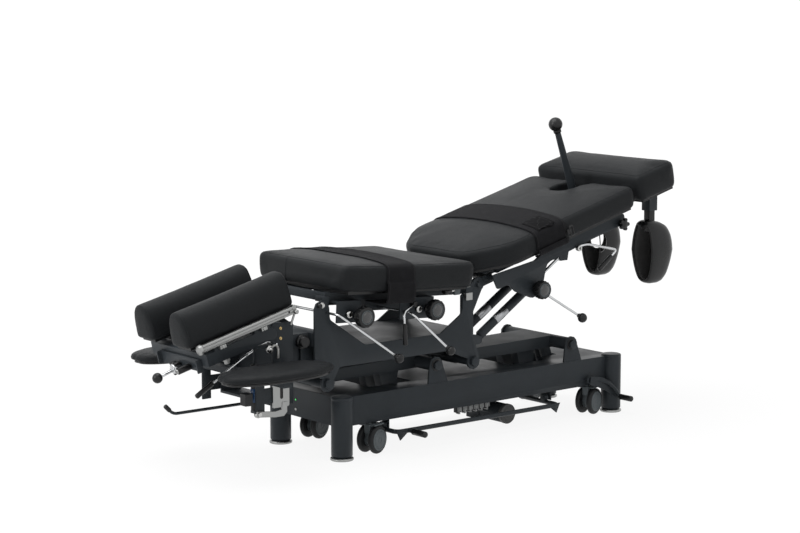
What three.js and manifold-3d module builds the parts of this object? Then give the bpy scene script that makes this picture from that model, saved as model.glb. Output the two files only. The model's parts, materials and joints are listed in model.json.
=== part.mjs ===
// A chiropractic table on an electric lift, in its lowest position: millimetres, +X to the foot end, +Z up.
// The near side is -Y. Places are written from the middle of the four legs and shifted once at the end.
import * as THREE from "three";
import { mergeVertices } from "three/addons/utils/BufferGeometryUtils.js";
import Module from "manifold-3d";

const wasm = await Module();
wasm.setup();

// Fits and fineness
const fit = {
  gap: 0.3, // between pieces that touch
  running: 0.6, // round a pin that turns
  overrun: 2, // how far a cutter passes a face
  merge: 0.001, // corners closer than this are one
};
const sides = { small: 6, round: 10, large: 12 };

// Base: a sheet-metal cover between four round legs
const base = {
  halfLength: 600,
  halfWidth: 165,
  top: 197,
  skirt: 104,
  sheet: 4,
};
const leg = { insetX: 11, insetY: 4, radius: 34, top: 202, capDepth: 4 };
const legAt = { x: base.halfLength - leg.insetX, y: base.halfWidth - leg.insetY };
const glide = { radius: 37, height: 9, neckRadius: 30, neckHeight: 14 };

// Lift: two equal arms that keep the upper frame level
const lift = {
  rearX: 396, // base pivot of the rear arm
  pitch: 600, // from the front arm's base pivot to the rear arm's
  pivotZ: 256,
  reach: 442, // from a base pivot to the frame pivot
  drop: 6, // how much lower the frame pivot stands at rest
  tubeRadius: 22,
  pinRadius: 11,
  armHalfWidth: 75,
  armHeight: 40,
};
const ear = { radius: 27, thickness: 6, footLength: 84, footLead: 34 };
const framePivot = {
  footX: lift.rearX - lift.reach,
  headX: lift.rearX - lift.reach - lift.pitch,
  z: lift.pivotZ - lift.drop,
};

// Upper frame: two tall side plates on the frame pivots
const frame = {
  y: 165,
  plate: 6,
  beamTop: 356,
  beamBottom: 297,
  postRise: { head: 262, foot: 214 }, // of the post tops over the frame pivots
  postBack: { head: 51, foot: 2 }, // of a post's outer edge, from its pivot
  postWidth: { head: 56, foot: 46 },
  deck: 6,
};
const footPostX = framePivot.footX - frame.postBack.foot;
const footPostTop = framePivot.z + frame.postRise.foot;
const headPostTop = framePivot.z + frame.postRise.head;

// Hinge lines of the three padded sections
const middle = { pivotX: -432, pivotZ: 529, slope: 3.3 };
const pelvis = { pivotX: footPostX + 28, pivotZ: footPostTop + 36, slope: -15 };
const head = { pivotX: -848, pivotZ: 425, slope: -14 };
const pelvisPivot = { pivotX: pelvis.pivotX, pivotZ: pelvis.pivotZ, pinRadius: 9 };

const paint = {
  dark: { color: 0x2c3135, roughness: 0.45, metalness: 0.6 },
  leather: { color: 0x24272a, roughness: 0.6, metalness: 0 },
  webbing: { color: 0x121214, roughness: 0.9, metalness: 0 },
  plastic: { color: 0x151617, roughness: 0.4, metalness: 0 },
  chrome: { color: 0xd8dadc, roughness: 0.15, metalness: 1 },
  aluminium: { color: 0xb9bbbb, roughness: 0.35, metalness: 0.9 },
  grey: { color: 0x9a9c98, roughness: 0.6, metalness: 0 },
};

// Solids and meshes

function solidFrom(geometry) {
  const loose = geometry.index ? geometry.toNonIndexed() : geometry;
  const bare = new THREE.BufferGeometry();
  bare.setAttribute("position", loose.getAttribute("position"));
  const merged = mergeVertices(bare, fit.merge);
  const corners = merged.index.array;
  const kept = [];
  for (let i = 0; i < corners.length; i += 3) {
    const [a, b, c] = corners.slice(i, i + 3);
    if (a !== b && b !== c && c !== a) kept.push(a, b, c);
  }
  const solid = manifoldOf(merged.attributes.position.array, kept);
  return solid.volume() > 0 ? solid : manifoldOf(merged.attributes.position.array, kept.reverse());
}

function manifoldOf(vertProperties, corners) {
  const triVerts = Uint32Array.from(corners);
  return new wasm.Manifold(new wasm.Mesh({ numProp: 3, vertProperties, triVerts }));
}

function geometryOf(solid) {
  const { numProp, vertProperties, triVerts } = solid.getMesh();
  const places = [];
  for (let i = 0; i < vertProperties.length; i += numProp) places.push(...vertProperties.slice(i, i + 3));
  const geometry = new THREE.BufferGeometry();
  geometry.setAttribute("position", new THREE.Float32BufferAttribute(places, 3));
  geometry.setIndex([...triVerts]);
  const faceted = geometry.toNonIndexed();
  faceted.computeVertexNormals();
  return faceted;
}

const joined = (...solids) => solids.flat().reduce((sum, solid) => sum.add(solid));
const without = (solid, ...cutters) => cutters.flat().reduce((rest, cutter) => rest.subtract(cutter), solid);

function piece(parent, name, solid, finish) {
  const mesh = new THREE.Mesh(geometryOf(solid), new THREE.MeshStandardMaterial(finish));
  mesh.name = name;
  parent.add(mesh);
  return mesh;
}

function section({ pivotX, pivotZ, slope }) {
  const group = new THREE.Group();
  group.position.set(pivotX, 0, pivotZ);
  group.rotation.y = THREE.MathUtils.degToRad(slope);
  return group;
}

// Shapes

function block([x0, x1], [y0, y1], [z0, z1]) {
  const geometry = new THREE.BoxGeometry(x1 - x0, y1 - y0, z1 - z0);
  geometry.translate((x0 + x1) / 2, (y0 + y1) / 2, (z0 + z1) / 2);
  return solidFrom(geometry);
}

// A round bar, or a cone with two radii, between two points
function bar(from, to, radius, endRadius = radius, count = sides.round) {
  const [a, b] = [new THREE.Vector3(...from), new THREE.Vector3(...to)];
  const run = b.clone().sub(a);
  const geometry = new THREE.CylinderGeometry(endRadius, radius, run.length(), count);
  geometry.translate(0, run.length() / 2, 0);
  const upright = new THREE.Vector3(0, 1, 0);
  geometry.applyQuaternion(new THREE.Quaternion().setFromUnitVectors(upright, run.normalize()));
  geometry.translate(...a.toArray());
  return solidFrom(geometry);
}

const barY = (radius, [y0, y1], x, z, count) => bar([x, y0, z], [x, y1, z], radius, radius, count);
const barX = (radius, [x0, x1], y, z, count) => bar([x0, y, z], [x1, y, z], radius, radius, count);
const barZ = (radius, [z0, z1], x, y, count) => bar([x, y, z0], [x, y, z1], radius, radius, count);

function ball(radius, [x, y, z]) {
  const geometry = new THREE.SphereGeometry(radius, sides.round, sides.small);
  geometry.translate(x, y, z);
  return solidFrom(geometry);
}

// A turned piece: its profile of [radius, height] pairs starts and ends on the axis, which is moved to along Z
function turned(profile, count = sides.round) {
  const geometry = new THREE.LatheGeometry(profile.map(([r, h]) => new THREE.Vector2(r, h)), count);
  geometry.rotateX(Math.PI / 2);
  return solidFrom(geometry);
}

const outline = (points) => new THREE.Shape(points.map(([u, v]) => new THREE.Vector2(u, v)));

// An outline in X and Z, through a thickness in Y
function sheetY(points, [y0, y1]) {
  const geometry = new THREE.ExtrudeGeometry(outline(points), { depth: y1 - y0, bevelEnabled: false });
  geometry.rotateX(Math.PI / 2);
  geometry.translate(0, y1, 0);
  return solidFrom(geometry);
}

// An outline in X and Y, through a height in Z
function sheetZ(points, [z0, z1]) {
  const geometry = new THREE.ExtrudeGeometry(outline(points), { depth: z1 - z0, bevelEnabled: false });
  geometry.translate(0, 0, z0);
  return solidFrom(geometry);
}

// An outline in Y and Z, through a length in X
function sheetX(points, [x0, x1]) {
  const geometry = new THREE.ExtrudeGeometry(outline(points), { depth: x1 - x0, bevelEnabled: false });
  geometry.rotateX(Math.PI / 2);
  geometry.rotateZ(Math.PI / 2);
  geometry.translate(x0, 0, 0);
  return solidFrom(geometry);
}

function rectangle([u0, u1], [v0, v1]) {
  return [[u0, v0], [u1, v0], [u1, v1], [u0, v1]];
}

// Corners of a polygon, counter-clockwise, rounded by one radius each
function rounded(points, radii, steps = 2) {
  const radiusOf = (i) => (Array.isArray(radii) ? radii[i] : radii);
  return points.flatMap((point, i) => {
    const corner = new THREE.Vector2(...point);
    const before = new THREE.Vector2(...points.at(i - 1)).sub(corner);
    const after = new THREE.Vector2(...points[(i + 1) % points.length]).sub(corner);
    if (!radiusOf(i)) return [point];
    const half = before.angleTo(after) / 2;
    const reach = Math.min(radiusOf(i) / Math.tan(half), before.length() / 2, after.length() / 2);
    const [start, end] = [before, after].map((side) => side.clone().setLength(reach).add(corner));
    const curve = new THREE.QuadraticBezierCurve(start, corner, end);
    return roundArc(curve, start, corner, end, steps);
  });
}

// A true arc that touches both sides of a corner
function roundArc(curve, start, corner, end, steps) {
  const middleOf = start.clone().add(end).multiplyScalar(1 / 2);
  const toCorner = corner.clone().sub(middleOf);
  const half = middleOf.distanceTo(start);
  if (toCorner.length() < fit.merge) return [start.toArray(), end.toArray()];
  const centre = middleOf.clone().sub(toCorner.setLength((half * half) / toCorner.length()));
  const radius = centre.distanceTo(start);
  const first = start.clone().sub(centre).angle();
  const sweep = THREE.MathUtils.euclideanModulo(end.clone().sub(centre).angle() - first + Math.PI, 2 * Math.PI) - Math.PI;
  return Array.from({ length: steps + 1 }, (_, k) => {
    const angle = first + (sweep * k) / steps;
    return [centre.x + radius * Math.cos(angle), centre.y + radius * Math.sin(angle)];
  });
}

// A polygon moved inwards by the same distance on every side
function inset(points, distance) {
  const lines = points.map((point, i) => {
    const from = new THREE.Vector2(...point);
    const along = new THREE.Vector2(...points[(i + 1) % points.length]).sub(from).normalize();
    return { from: from.add(new THREE.Vector2(-along.y, along.x).multiplyScalar(distance)), along };
  });
  return lines.map((line, i) => {
    const other = lines.at(i - 1);
    const between = line.from.clone().sub(other.from);
    const share = between.cross(line.along) / other.along.cross(line.along);
    return other.from.clone().addScaledVector(other.along, share).toArray();
  });
}

// Rings of points with equal counts, skinned, and closed by a middle point at each end
function lofted(rings) {
  const count = rings[0].length;
  const middleOf = (ring) => ring.reduce((sum, p) => sum.add(p), new THREE.Vector3()).divideScalar(count);
  const places = [];
  const face = (...corners) => corners.forEach((p) => places.push(...p.toArray()));
  const [low, high] = [middleOf(rings[0]), middleOf(rings.at(-1))];
  for (let i = 0; i < count; i += 1) {
    const next = (i + 1) % count;
    face(low, rings[0][next], rings[0][i]);
    face(high, rings.at(-1)[i], rings.at(-1)[next]);
    for (let k = 1; k < rings.length; k += 1) {
      face(rings[k - 1][i], rings[k - 1][next], rings[k][next]);
      face(rings[k - 1][i], rings[k][next], rings[k][i]);
    }
  }
  const geometry = new THREE.BufferGeometry();
  geometry.setAttribute("position", new THREE.Float32BufferAttribute(places, 3));
  return solidFrom(geometry);
}

// A crowned cushion: sides drawn in at the bottom, a seam line near the top and a rising middle
function cushion({ corners, radii, bottom, top, crown, drawIn, steps }) {
  const height = top - bottom;
  const across = Math.min(...["x", "y"].map((axis, i) => spread(corners.map((c) => c[i]))));
  const heightShares = [0, 0.3, 0.7, 0.93];
  const sideInsetShares = [1, 0.1, 0, 0.25];
  const crownInsetShares = [0.05, 0.12, 0.2, 0.3];
  const crownRiseShares = [0.25, 0.62, 0.88, 1];
  const side = heightShares.map((share, i) => [drawIn * sideInsetShares[i], bottom + height * share]);
  const dome = crownInsetShares.map((share, i) => [
    across * share,
    top + (crown * crownRiseShares[i]) - (crown * crownRiseShares[0]),
  ]);
  return lofted(
    [...side, ...dome].map(([distance, z]) => {
      const shrunk = radii.map((radius) => Math.max(radius - distance, radius / 8));
      return rounded(inset(corners, distance), shrunk, steps).map(([x, y]) => new THREE.Vector3(x, y, z));
    }),
  );
}

const spread = (values) => Math.max(...values) - Math.min(...values);

// A path with straight runs and round bends, sampled only where it turns
class RodPath extends THREE.Curve {
  constructor(points, bend, steps = 3) {
    super();
    const corners = points.map((p) => new THREE.Vector3(...p));
    this.samples = corners.flatMap((corner, i) => {
      if (i === 0 || i === corners.length - 1) return [corner];
      const sidesOf = [corners[i - 1], corners[i + 1]].map((end) => end.clone().sub(corner));
      const [start, end] = sidesOf.map((side) => {
        return side.clone().setLength(Math.min(bend, side.length() / 2)).add(corner);
      });
      return new THREE.QuadraticBezierCurve3(start, corner, end).getPoints(steps);
    });
  }

  getSpacedPoints() {
    return this.samples;
  }

  getTangentAt(u) {
    const last = this.samples.length - 1;
    const i = Math.round(u * last);
    const step = (k) => this.samples[k + 1].clone().sub(this.samples[k]).normalize();
    if (i === 0) return step(0);
    if (i === last) return step(last - 1);
    return step(i - 1).add(step(i)).normalize();
  }
}

function bentRod(points, radius, bend, count = sides.small) {
  const path = new RodPath(points, bend);
  const ring = Array.from({ length: count }, (_, k) => {
    const angle = (2 * Math.PI * k) / count;
    return [radius * Math.cos(angle), radius * Math.sin(angle)];
  });
  const steps = path.samples.length - 1;
  return solidFrom(new THREE.ExtrudeGeometry(outline(ring), { steps, extrudePath: path, bevelEnabled: false }));
}

const mirrored = (solid) => solid.mirror([0, 1, 0]);

// Base

const opening = { headX: [-407, -240], y: 80, slotX: 452, slotY: 34 };
const ports = { bracketY: [-146, -114], bracketFoot: 70, headX: -389, footX: 318, thickness: 4, pinRadius: 4 };
const footBar = {
  radius: 7.5,
  y: -200,
  innerY: -8,
  headX: -399,
  footX: 304,
  headZ: 68,
  footZ: 65,
  pivotY: -130,
  pivotZ: 80,
  bossRadius: 13,
  pedalX: -353,
  pedalY: [-286, -200],
  pedalRadius: 8,
};
const hexBolt = { radius: 17, height: 9 };

function pivotHoles(radius) {
  const places = [lift.rearX, lift.rearX - lift.pitch];
  return places.map((x) => barY(radius, [-base.halfWidth * 2, base.halfWidth * 2], x, lift.pivotZ));
}

function pivotEar(x) {
  const foot = [[x - ear.footLead, base.top - base.sheet], [x + ear.footLength - ear.footLead, base.top - base.sheet]];
  const top = [[x + ear.radius, lift.pivotZ], [x - ear.radius, lift.pivotZ]];
  const outer = base.halfWidth - base.sheet / 2;
  const plate = sheetY([...foot, ...top], [outer - ear.thickness, outer]);
  const round = barY(ear.radius, [outer - ear.thickness, outer], x, lift.pivotZ, sides.large);
  return [plate, round, mirrored(plate), mirrored(round)];
}

function footBarBracket(x, inward) {
  const plate = block([x, x + ports.thickness], ports.bracketY, [ports.bracketFoot, base.top - base.sheet / 2]);
  const reach = [x + ports.thickness / 2, x + ports.thickness / 2 + inward];
  return plate.add(barX(ports.pinRadius, reach, footBar.pivotY, footBar.pivotZ));
}

function baseCover() {
  const { halfLength: l, halfWidth: w, sheet } = base;
  const shell = block([-l, l], [-w, w], [base.skirt, base.top]);
  const room = block([sheet - l, l - sheet], [sheet - w, w - sheet], [base.skirt - fit.overrun, base.top - sheet]);
  const [x0, x1] = opening.headX;
  const height = [base.top - sheet - fit.overrun, base.top + fit.overrun];
  const openings = [
    block([x0, x1], [-opening.y, opening.y], height),
    block([x0 + lift.pitch, x1 + lift.pitch], [-opening.y, opening.y], height),
    block([x1 + lift.pitch - fit.overrun, opening.slotX], [-opening.slotY, opening.slotY], height),
  ];
  const legRooms = [-legAt.x, legAt.x].flatMap((x) => [-legAt.y, legAt.y].map((y) => {
    return barZ(leg.radius + fit.gap, [0, leg.top * 2], x, y, sides.large);
  }));
  const castorRooms = castors.map(({ stem: [x, y] }) => {
    return barZ(castor.stemRadius * 2, [base.skirt - fit.overrun, base.skirt], x, y);
  });
  const tray = without(shell, room, openings, legRooms, castorRooms);
  const ears = [lift.rearX, lift.rearX - lift.pitch].flatMap(pivotEar);
  const brackets = [footBarBracket(ports.headX, -ports.headX + footBar.headX), footBarBracket(ports.footX, footBar.footX - ports.footX - ports.thickness)];
  const pedalPin = barY(pedal.pinRadius, [-pedal.outerY, -base.halfWidth + base.sheet / 2], pedal.pivotX, pedal.pivotZ);
  return joined(without(joined(tray, ears), pivotHoles(lift.pinRadius + fit.running)), brackets, pedalPin);
}

function legPost(x, y) {
  const { radius, height, neckRadius, neckHeight } = glide;
  const profile = [
    [0, 0],
    [radius, 0],
    [radius, height],
    [neckRadius, height],
    [neckRadius, neckHeight],
    [leg.radius, neckHeight],
    [leg.radius, leg.top - leg.capDepth],
    [leg.radius - leg.capDepth, leg.top],
    [0, leg.top],
  ];
  return turned(profile, sides.large).translate(x, y, 0);
}

function footBarTube() {
  const { radius, y, innerY, headX, footX, headZ, footZ, pivotY, pivotZ, bossRadius } = footBar;
  const tube = bentRod([[headX, innerY, headZ], [headX, y, headZ], [footX, y, footZ], [footX, innerY, footZ]], radius, radius * 3);
  const boss = (x) => barX(bossRadius, [x - radius, x + radius], pivotY, pivotZ);
  const pin = (x) => barX(ports.pinRadius + fit.running, [x - radius * 2, x + radius * 2], pivotY, pivotZ);
  const pedalPin = barY(footBar.pedalRadius, footBar.pedalY, footBar.pedalX, headZ);
  return joined(without(joined(tube, boss(headX), boss(footX)), pin(headX), pin(footX)), pedalPin);
}

// Castors, on a frame that lowers them to the floor

const castor = {
  radius: 45,
  floorGap: 2.5,
  width: 18,
  spacing: 43,
  bore: 5,
  axleRadius: 4.4,
  hoodHalfWidth: 11,
  hoodRadius: 26,
  stemRadius: 8,
  hoodTop: 98,
  discRadius: 30,
  discProud: 2,
  toe: 17,
};
const castors = [
  { name: "head_near", wheel: [-461, -150], stem: [-471, -150] },
  { name: "head_far", wheel: [-468, 140], stem: [-478, 140] },
  { name: "foot_near", wheel: [494, -150], stem: [484, -150] },
  { name: "foot_far", wheel: [494, 150], stem: [484, 150] },
];
const castorFrame = { bottom: 104.5, top: 114, halfWidth: 16, y: 160.7, spineHalfWidth: 12, spineY: 105 };
const pedal = {
  pivotX: 466,
  pivotZ: 127,
  y: [-186, -176],
  outerY: 182,
  pinRadius: 5,
  bossRadius: 13,
  rodRadius: 5,
  treadX: 587,
  treadY: [-262, -199.5],
  treadRodY: -204.5,
  treadZ: 57,
  treadRadius: 8,
};

const castorCentre = castor.radius + castor.floorGap;

function castorTurned(solid, { wheel: [x, y] }) {
  return solid.rotate([0, 0, castor.toe]).translate(x, y, castorCentre);
}

function castorWheels(place) {
  const { radius, width, spacing, discRadius, discProud, axleRadius } = castor;
  const half = width / 2;
  const shoulder = radius - half / 2;
  const face = half + discProud;
  const profile = [
    [0, -face],
    [discRadius, -face],
    [discRadius, -half],
    [shoulder, -half],
    [radius, -half / 2],
    [radius, half / 2],
    [shoulder, half],
    [0, half],
  ];
  const wheel = turned(profile, sides.large).rotate([90, 0, 0]);
  const outer = wheel.rotate([0, 0, 180]).translate(0, -spacing / 2, 0);
  const axle = barY(axleRadius, [-spacing / 2, spacing / 2], 0, 0, sides.small);
  return castorTurned(joined(outer, mirrored(outer), axle), place);
}

function castorHood(place) {
  const { hoodHalfWidth: w, hoodRadius, bore, radius, stemRadius, hoodTop } = castor;
  const inner = w - fit.gap;
  const disc = barY(hoodRadius, [-inner, inner], 0, 0, sides.large);
  const top = hoodTop - castorCentre;
  const neck = block([place.stem[0] - place.wheel[0] - hoodRadius / 2, hoodRadius], [-inner, inner], [0, radius]);
  const lid = block([-hoodRadius, hoodRadius], [-radius * 2 / 3, radius * 2 / 3], [radius + fit.overrun, top]);
  const web = block([-hoodRadius, hoodRadius], [-inner, inner], [radius / 2, top]);
  const axle = barY(bore, [-radius, radius], 0, 0);
  const body = castorTurned(without(joined(disc, neck, web, lid), axle), place);
  const [x, y] = place.stem;
  return body.add(barZ(stemRadius, [hoodTop - fit.overrun, castorFrame.top + stemRadius], x, y));
}

function castorCarriage() {
  const { bottom, top, halfWidth, y, spineHalfWidth, spineY } = castorFrame;
  const [headX, footX] = [castors[1].stem[0], castors[3].stem[0]];
  const beam = (x) => block([x - halfWidth, x + halfWidth], [-y, y], [bottom, top]);
  const spine = block([headX, footX], [spineY - spineHalfWidth, spineY + spineHalfWidth], [bottom, top]);
  const bores = castors.map(({ stem: [x, z] }) => barZ(castor.stemRadius + fit.running, [0, top * 2], x, z));
  return without(joined(beam(headX), beam(footX), spine), bores);
}

function castorPedal() {
  const { pivotX, pivotZ, y, bossRadius, pinRadius, rodRadius, treadX, treadY, treadZ, treadRadius } = pedal;
  const midY = (y[0] + y[1]) / 2;
  const boss = barY(bossRadius, y, pivotX, pivotZ);
  const shoulder = [treadX - bossRadius * 2, pedal.treadRodY, pivotZ - rodRadius];
  const arm = bentRod([[pivotX, midY, pivotZ], shoulder, [treadX, pedal.treadRodY, treadZ]], rodRadius, bossRadius * 2);
  const tread = barY(treadRadius, treadY, treadX, treadZ);
  const hole = barY(pinRadius + fit.running, [-base.halfWidth * 2, 0], pivotX, pivotZ);
  return without(joined(boss, arm, tread), hole);
}

// Lift drive: a geared motor that draws a slotted lever under the rear arm

const drive = {
  leverReach: 96.5,
  travelHalfAngle: 21.5,
  pinRadius: 6,
  slotGap: 1.4,
  cheek: [12, 18],
  cheekRadius: 22,
  rodRadius: 9,
  tubeRadius: 17,
  gearX: [88, 152],
  gearY: [-40, 24],
  gearZ: [18, 180],
  tubeEnd: 262,
  rodStart: 244,
  eyeHalfWidth: 11,
  motorX: 120,
  motorZ: 50,
  motorRadius: 33,
  motorY: [-140, -38],
  endCapRadius: 26,
  endCapY: -146,
  mountX: [100, 140],
  mountY: [-30, 14],
};
const box = {
  x: [-150, 80],
  y: [-98, 70],
  z: [104, 192.7],
  plugX: [-72, 75],
  plugY: [-112, -96],
  plugZ: [72, 108],
  plugs: 6,
  plugGapShare: 0.25,
};

const driveZ = lift.pivotZ - drive.leverReach;
const drivePinX = lift.rearX + drive.leverReach * Math.tan(THREE.MathUtils.degToRad(drive.travelHalfAngle));

function actuatorBody() {
  const { gearX, gearY, gearZ, tubeEnd, tubeRadius, rodRadius, motorX, motorZ, motorRadius, motorY } = drive;
  const gear = block(gearX, gearY, gearZ);
  const tube = barX(tubeRadius, [gearX[1] - fit.overrun, tubeEnd], 0, driveZ);
  const motor = barY(motorRadius, motorY, motorX, motorZ, sides.large);
  const cap = barY(drive.endCapRadius, [drive.endCapY, motorY[0] + fit.overrun], motorX, motorZ, sides.large);
  const mount = block(drive.mountX, drive.mountY, [gearZ[1] - fit.overrun, base.top - base.sheet - fit.gap]);
  const bore = barX(rodRadius + fit.running, [gearX[1], tubeEnd + fit.overrun], 0, driveZ);
  return without(joined(gear, tube, motor, cap, mount), bore);
}

function actuatorRod() {
  const { rodRadius, rodStart, pinRadius, eyeHalfWidth, cheek } = drive;
  const rod = barX(rodRadius, [rodStart, drivePinX], 0, driveZ);
  const eye = barY(rodRadius + fit.overrun, [-eyeHalfWidth, eyeHalfWidth], drivePinX, driveZ);
  const pin = barY(pinRadius, [-cheek[1] - fit.overrun, cheek[1] + fit.overrun], drivePinX, driveZ);
  return joined(rod, eye, pin);
}

function controlBox() {
  const body = block(box.x, box.y, box.z);
  const pitch = (box.plugX[1] - box.plugX[0]) / box.plugs;
  const plugs = Array.from({ length: box.plugs }, (_, i) => {
    const start = box.plugX[0] + pitch * i;
    return block([start, start + pitch * (1 - box.plugGapShare)], box.plugY, box.plugZ);
  });
  return joined(body, plugs);
}

// Lift arms

const horn = { reach: [70, 160], depth: 106, tipReach: [84, 128], halfWidth: 58, slotHalf: 24 };
const armPin = { headY: 176, upperTubeRadius: 17 };

// Points along an arm from its base pivot, and square to it
function armPoint(pivotX, along, up) {
  const slope = Math.asin(lift.drop / lift.reach);
  const [c, s] = [Math.cos(slope), Math.sin(slope)];
  return [pivotX - along * c + up * s, lift.pivotZ - along * s + up * c];
}

function pinned(x, z, tubeRadius, outerY) {
  const inner = base.halfWidth - base.sheet / 2 - ear.thickness - fit.gap;
  const tube = barY(tubeRadius, [-inner, inner], x, z, sides.large);
  const pin = barY(lift.pinRadius, [-outerY, outerY], x, z);
  const bolt = [-outerY, outerY].map((y) => barY(hexBolt.radius, y < 0 ? [y, y + hexBolt.height] : [y - hexBolt.height, y], x, z, 6));
  return joined(tube, pin, bolt);
}

function liftArm(pivotX) {
  const at = (along, up) => armPoint(pivotX, along, up);
  const half = lift.armHeight / 2;
  const bar = sheetY([at(lift.reach, -half), at(0, -half), at(0, half), at(lift.reach, half)], [-lift.armHalfWidth, lift.armHalfWidth]);
  const tooth = [at(horn.reach[1], 0), at(horn.tipReach[1], -horn.depth), at(horn.tipReach[0], -horn.depth), at(horn.reach[0], 0)];
  const [x, z] = at(lift.reach, 0);
  const lower = pinned(pivotX, lift.pivotZ, lift.tubeRadius, base.halfWidth + hexBolt.height + fit.overrun);
  const upper = pinned(x, z, armPin.upperTubeRadius, frame.y + hexBolt.height + fit.overrun);
  const prongs = [[-horn.halfWidth, -horn.slotHalf], [horn.slotHalf, horn.halfWidth]].map((y) => sheetY(tooth, y));
  return joined(bar, prongs, lower, upper);
}

function driveLever() {
  const { cheek, cheekRadius, leverReach, pinRadius, slotGap, travelHalfAngle } = drive;
  const angle = THREE.MathUtils.degToRad(travelHalfAngle);
  const far = leverReach / Math.cos(angle);
  const at = (r) => [lift.rearX + r * Math.sin(angle), lift.pivotZ - r * Math.cos(angle)];
  const slab = (radius, r0, r1, y) => {
    const [c, s] = [Math.cos(angle) * radius, Math.sin(angle) * radius];
    const [[ax, az], [bx, bz]] = [at(r0), at(r1)];
    const side = sheetY([[ax - c, az - s], [bx - c, bz - s], [bx + c, bz + s], [ax + c, az + s]], y);
    return joined(side, barY(radius, y, ax, az), barY(radius, y, bx, bz));
  };
  const cheekPlate = slab(cheekRadius, 0, far, cheek);
  const slot = slab(pinRadius + slotGap, leverReach, far, [cheek[0] - fit.overrun, cheek[1] + fit.overrun]);
  const plate = without(cheekPlate, slot);
  return [plate, mirrored(plate)];
}

// Upper frame

const deckEnds = { head: 24, foot: 16 };
const deckX = [framePivot.headX + deckEnds.head, framePivot.footX - deckEnds.foot];
const lobe = { half: 26, rise: 12, headRise: 18, root: 80, rootIn: 104, blend: 66, blendRise: 27, headRoot: 46 };
const web = { footIn: 8, footDrop: 34, shoulderIn: 8, shoulderDrop: 54, deckIn: 143, headIn: 148, headOut: 9, headDrop: 62, topIn: 5 };

// Its corners from the head-end post's outer edge, along the underside and back over the deck
function sidePlateOutline() {
  const { headX, footX, z } = framePivot;
  const headEdge = headX - frame.postBack.head;
  const footInner = footPostX - frame.postWidth.foot;
  return [
    [headEdge, z + lobe.root],
    [headX - lobe.half, z + lobe.headRise],
    [headX + lobe.half, z + lobe.rise],
    [headX + lobe.headRoot, frame.beamBottom],
    [footX - lobe.rootIn, frame.beamBottom],
    [footX - lobe.blend, z + lobe.blendRise],
    [footX - lobe.half, z + lobe.rise],
    [footX + lobe.half, z + lobe.rise],
    [footPostX, z + lobe.root],
    [footPostX, footPostTop],
    [footInner, footPostTop],
    [footInner, footPostTop - web.footDrop],
    [footInner - web.shoulderIn, footPostTop - web.shoulderDrop],
    [footX - web.deckIn, frame.beamTop],
    [headX + web.headIn, frame.beamTop],
    [headX + web.headOut, headPostTop - web.headDrop],
    [headX + web.topIn, headPostTop],
    [headEdge, headPostTop],
  ];
}
const sidePlateRadii = [0, 0, 0, 12, 12, 0, 0, 0, 10, 6, 6, 8, 18, 30, 30, 16, 26, 26];
const lugs = { radius: 27 };
const rearEar = { y: [151, 157], radius: 24, root: 64, rise: 6, step: 4 };
const clampBlock = { back: 38, width: 26, seat: 8, rise: 34, proud: 8 };
const strut = {
  y: [-138, -52],
  lower: [framePivot.footX + 31, framePivot.z + 66],
  upper: [364, 557],
  pinRadius: 6,
  pinHalfLength: 19,
  open: 2.6,
  tubeRadius: 15,
  tubeLength: 285,
  rodRadius: 5,
  eyeRadius: 15,
  eyeHalfWidth: 8,
  overlap: 66,
  fork: { back: -100, thickness: 5, halfHeight: 14 },
};
const thoracicAxle = { x: -650, z: 473, radius: 4 };

function strutBracket(y) {
  const { lower: [x, z], fork, pinRadius, pinHalfLength } = strut;
  const outer = pinHalfLength;
  const inner = outer - fork.thickness;
  const arm = sheetY(
    [[fork.back, z - fork.halfHeight], [x, z - fork.halfHeight], [x, z + fork.halfHeight], [fork.back, frame.beamTop - fit.overrun]],
    [y - outer, y - inner],
  );
  const twin = arm.translate(0, outer + inner, 0);
  const ends = [barY(fork.halfHeight, [y - outer, y - inner], x, z), barY(fork.halfHeight, [y + inner, y + outer], x, z)];
  return joined(arm, twin, ends, barY(pinRadius, [y - outer, y + outer], x, z));
}

function rearEarOutline() {
  const { pivotX, pivotZ } = pelvisPivot;
  const inner = footPostX - frame.postWidth.foot;
  return [
    [inner, footPostTop - rearEar.root],
    [footPostX, footPostTop - rearEar.root],
    [pivotX + rearEar.radius, pivotZ],
    [pivotX, pivotZ + rearEar.radius],
    [inner, footPostTop + rearEar.rise],
  ];
}

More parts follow.
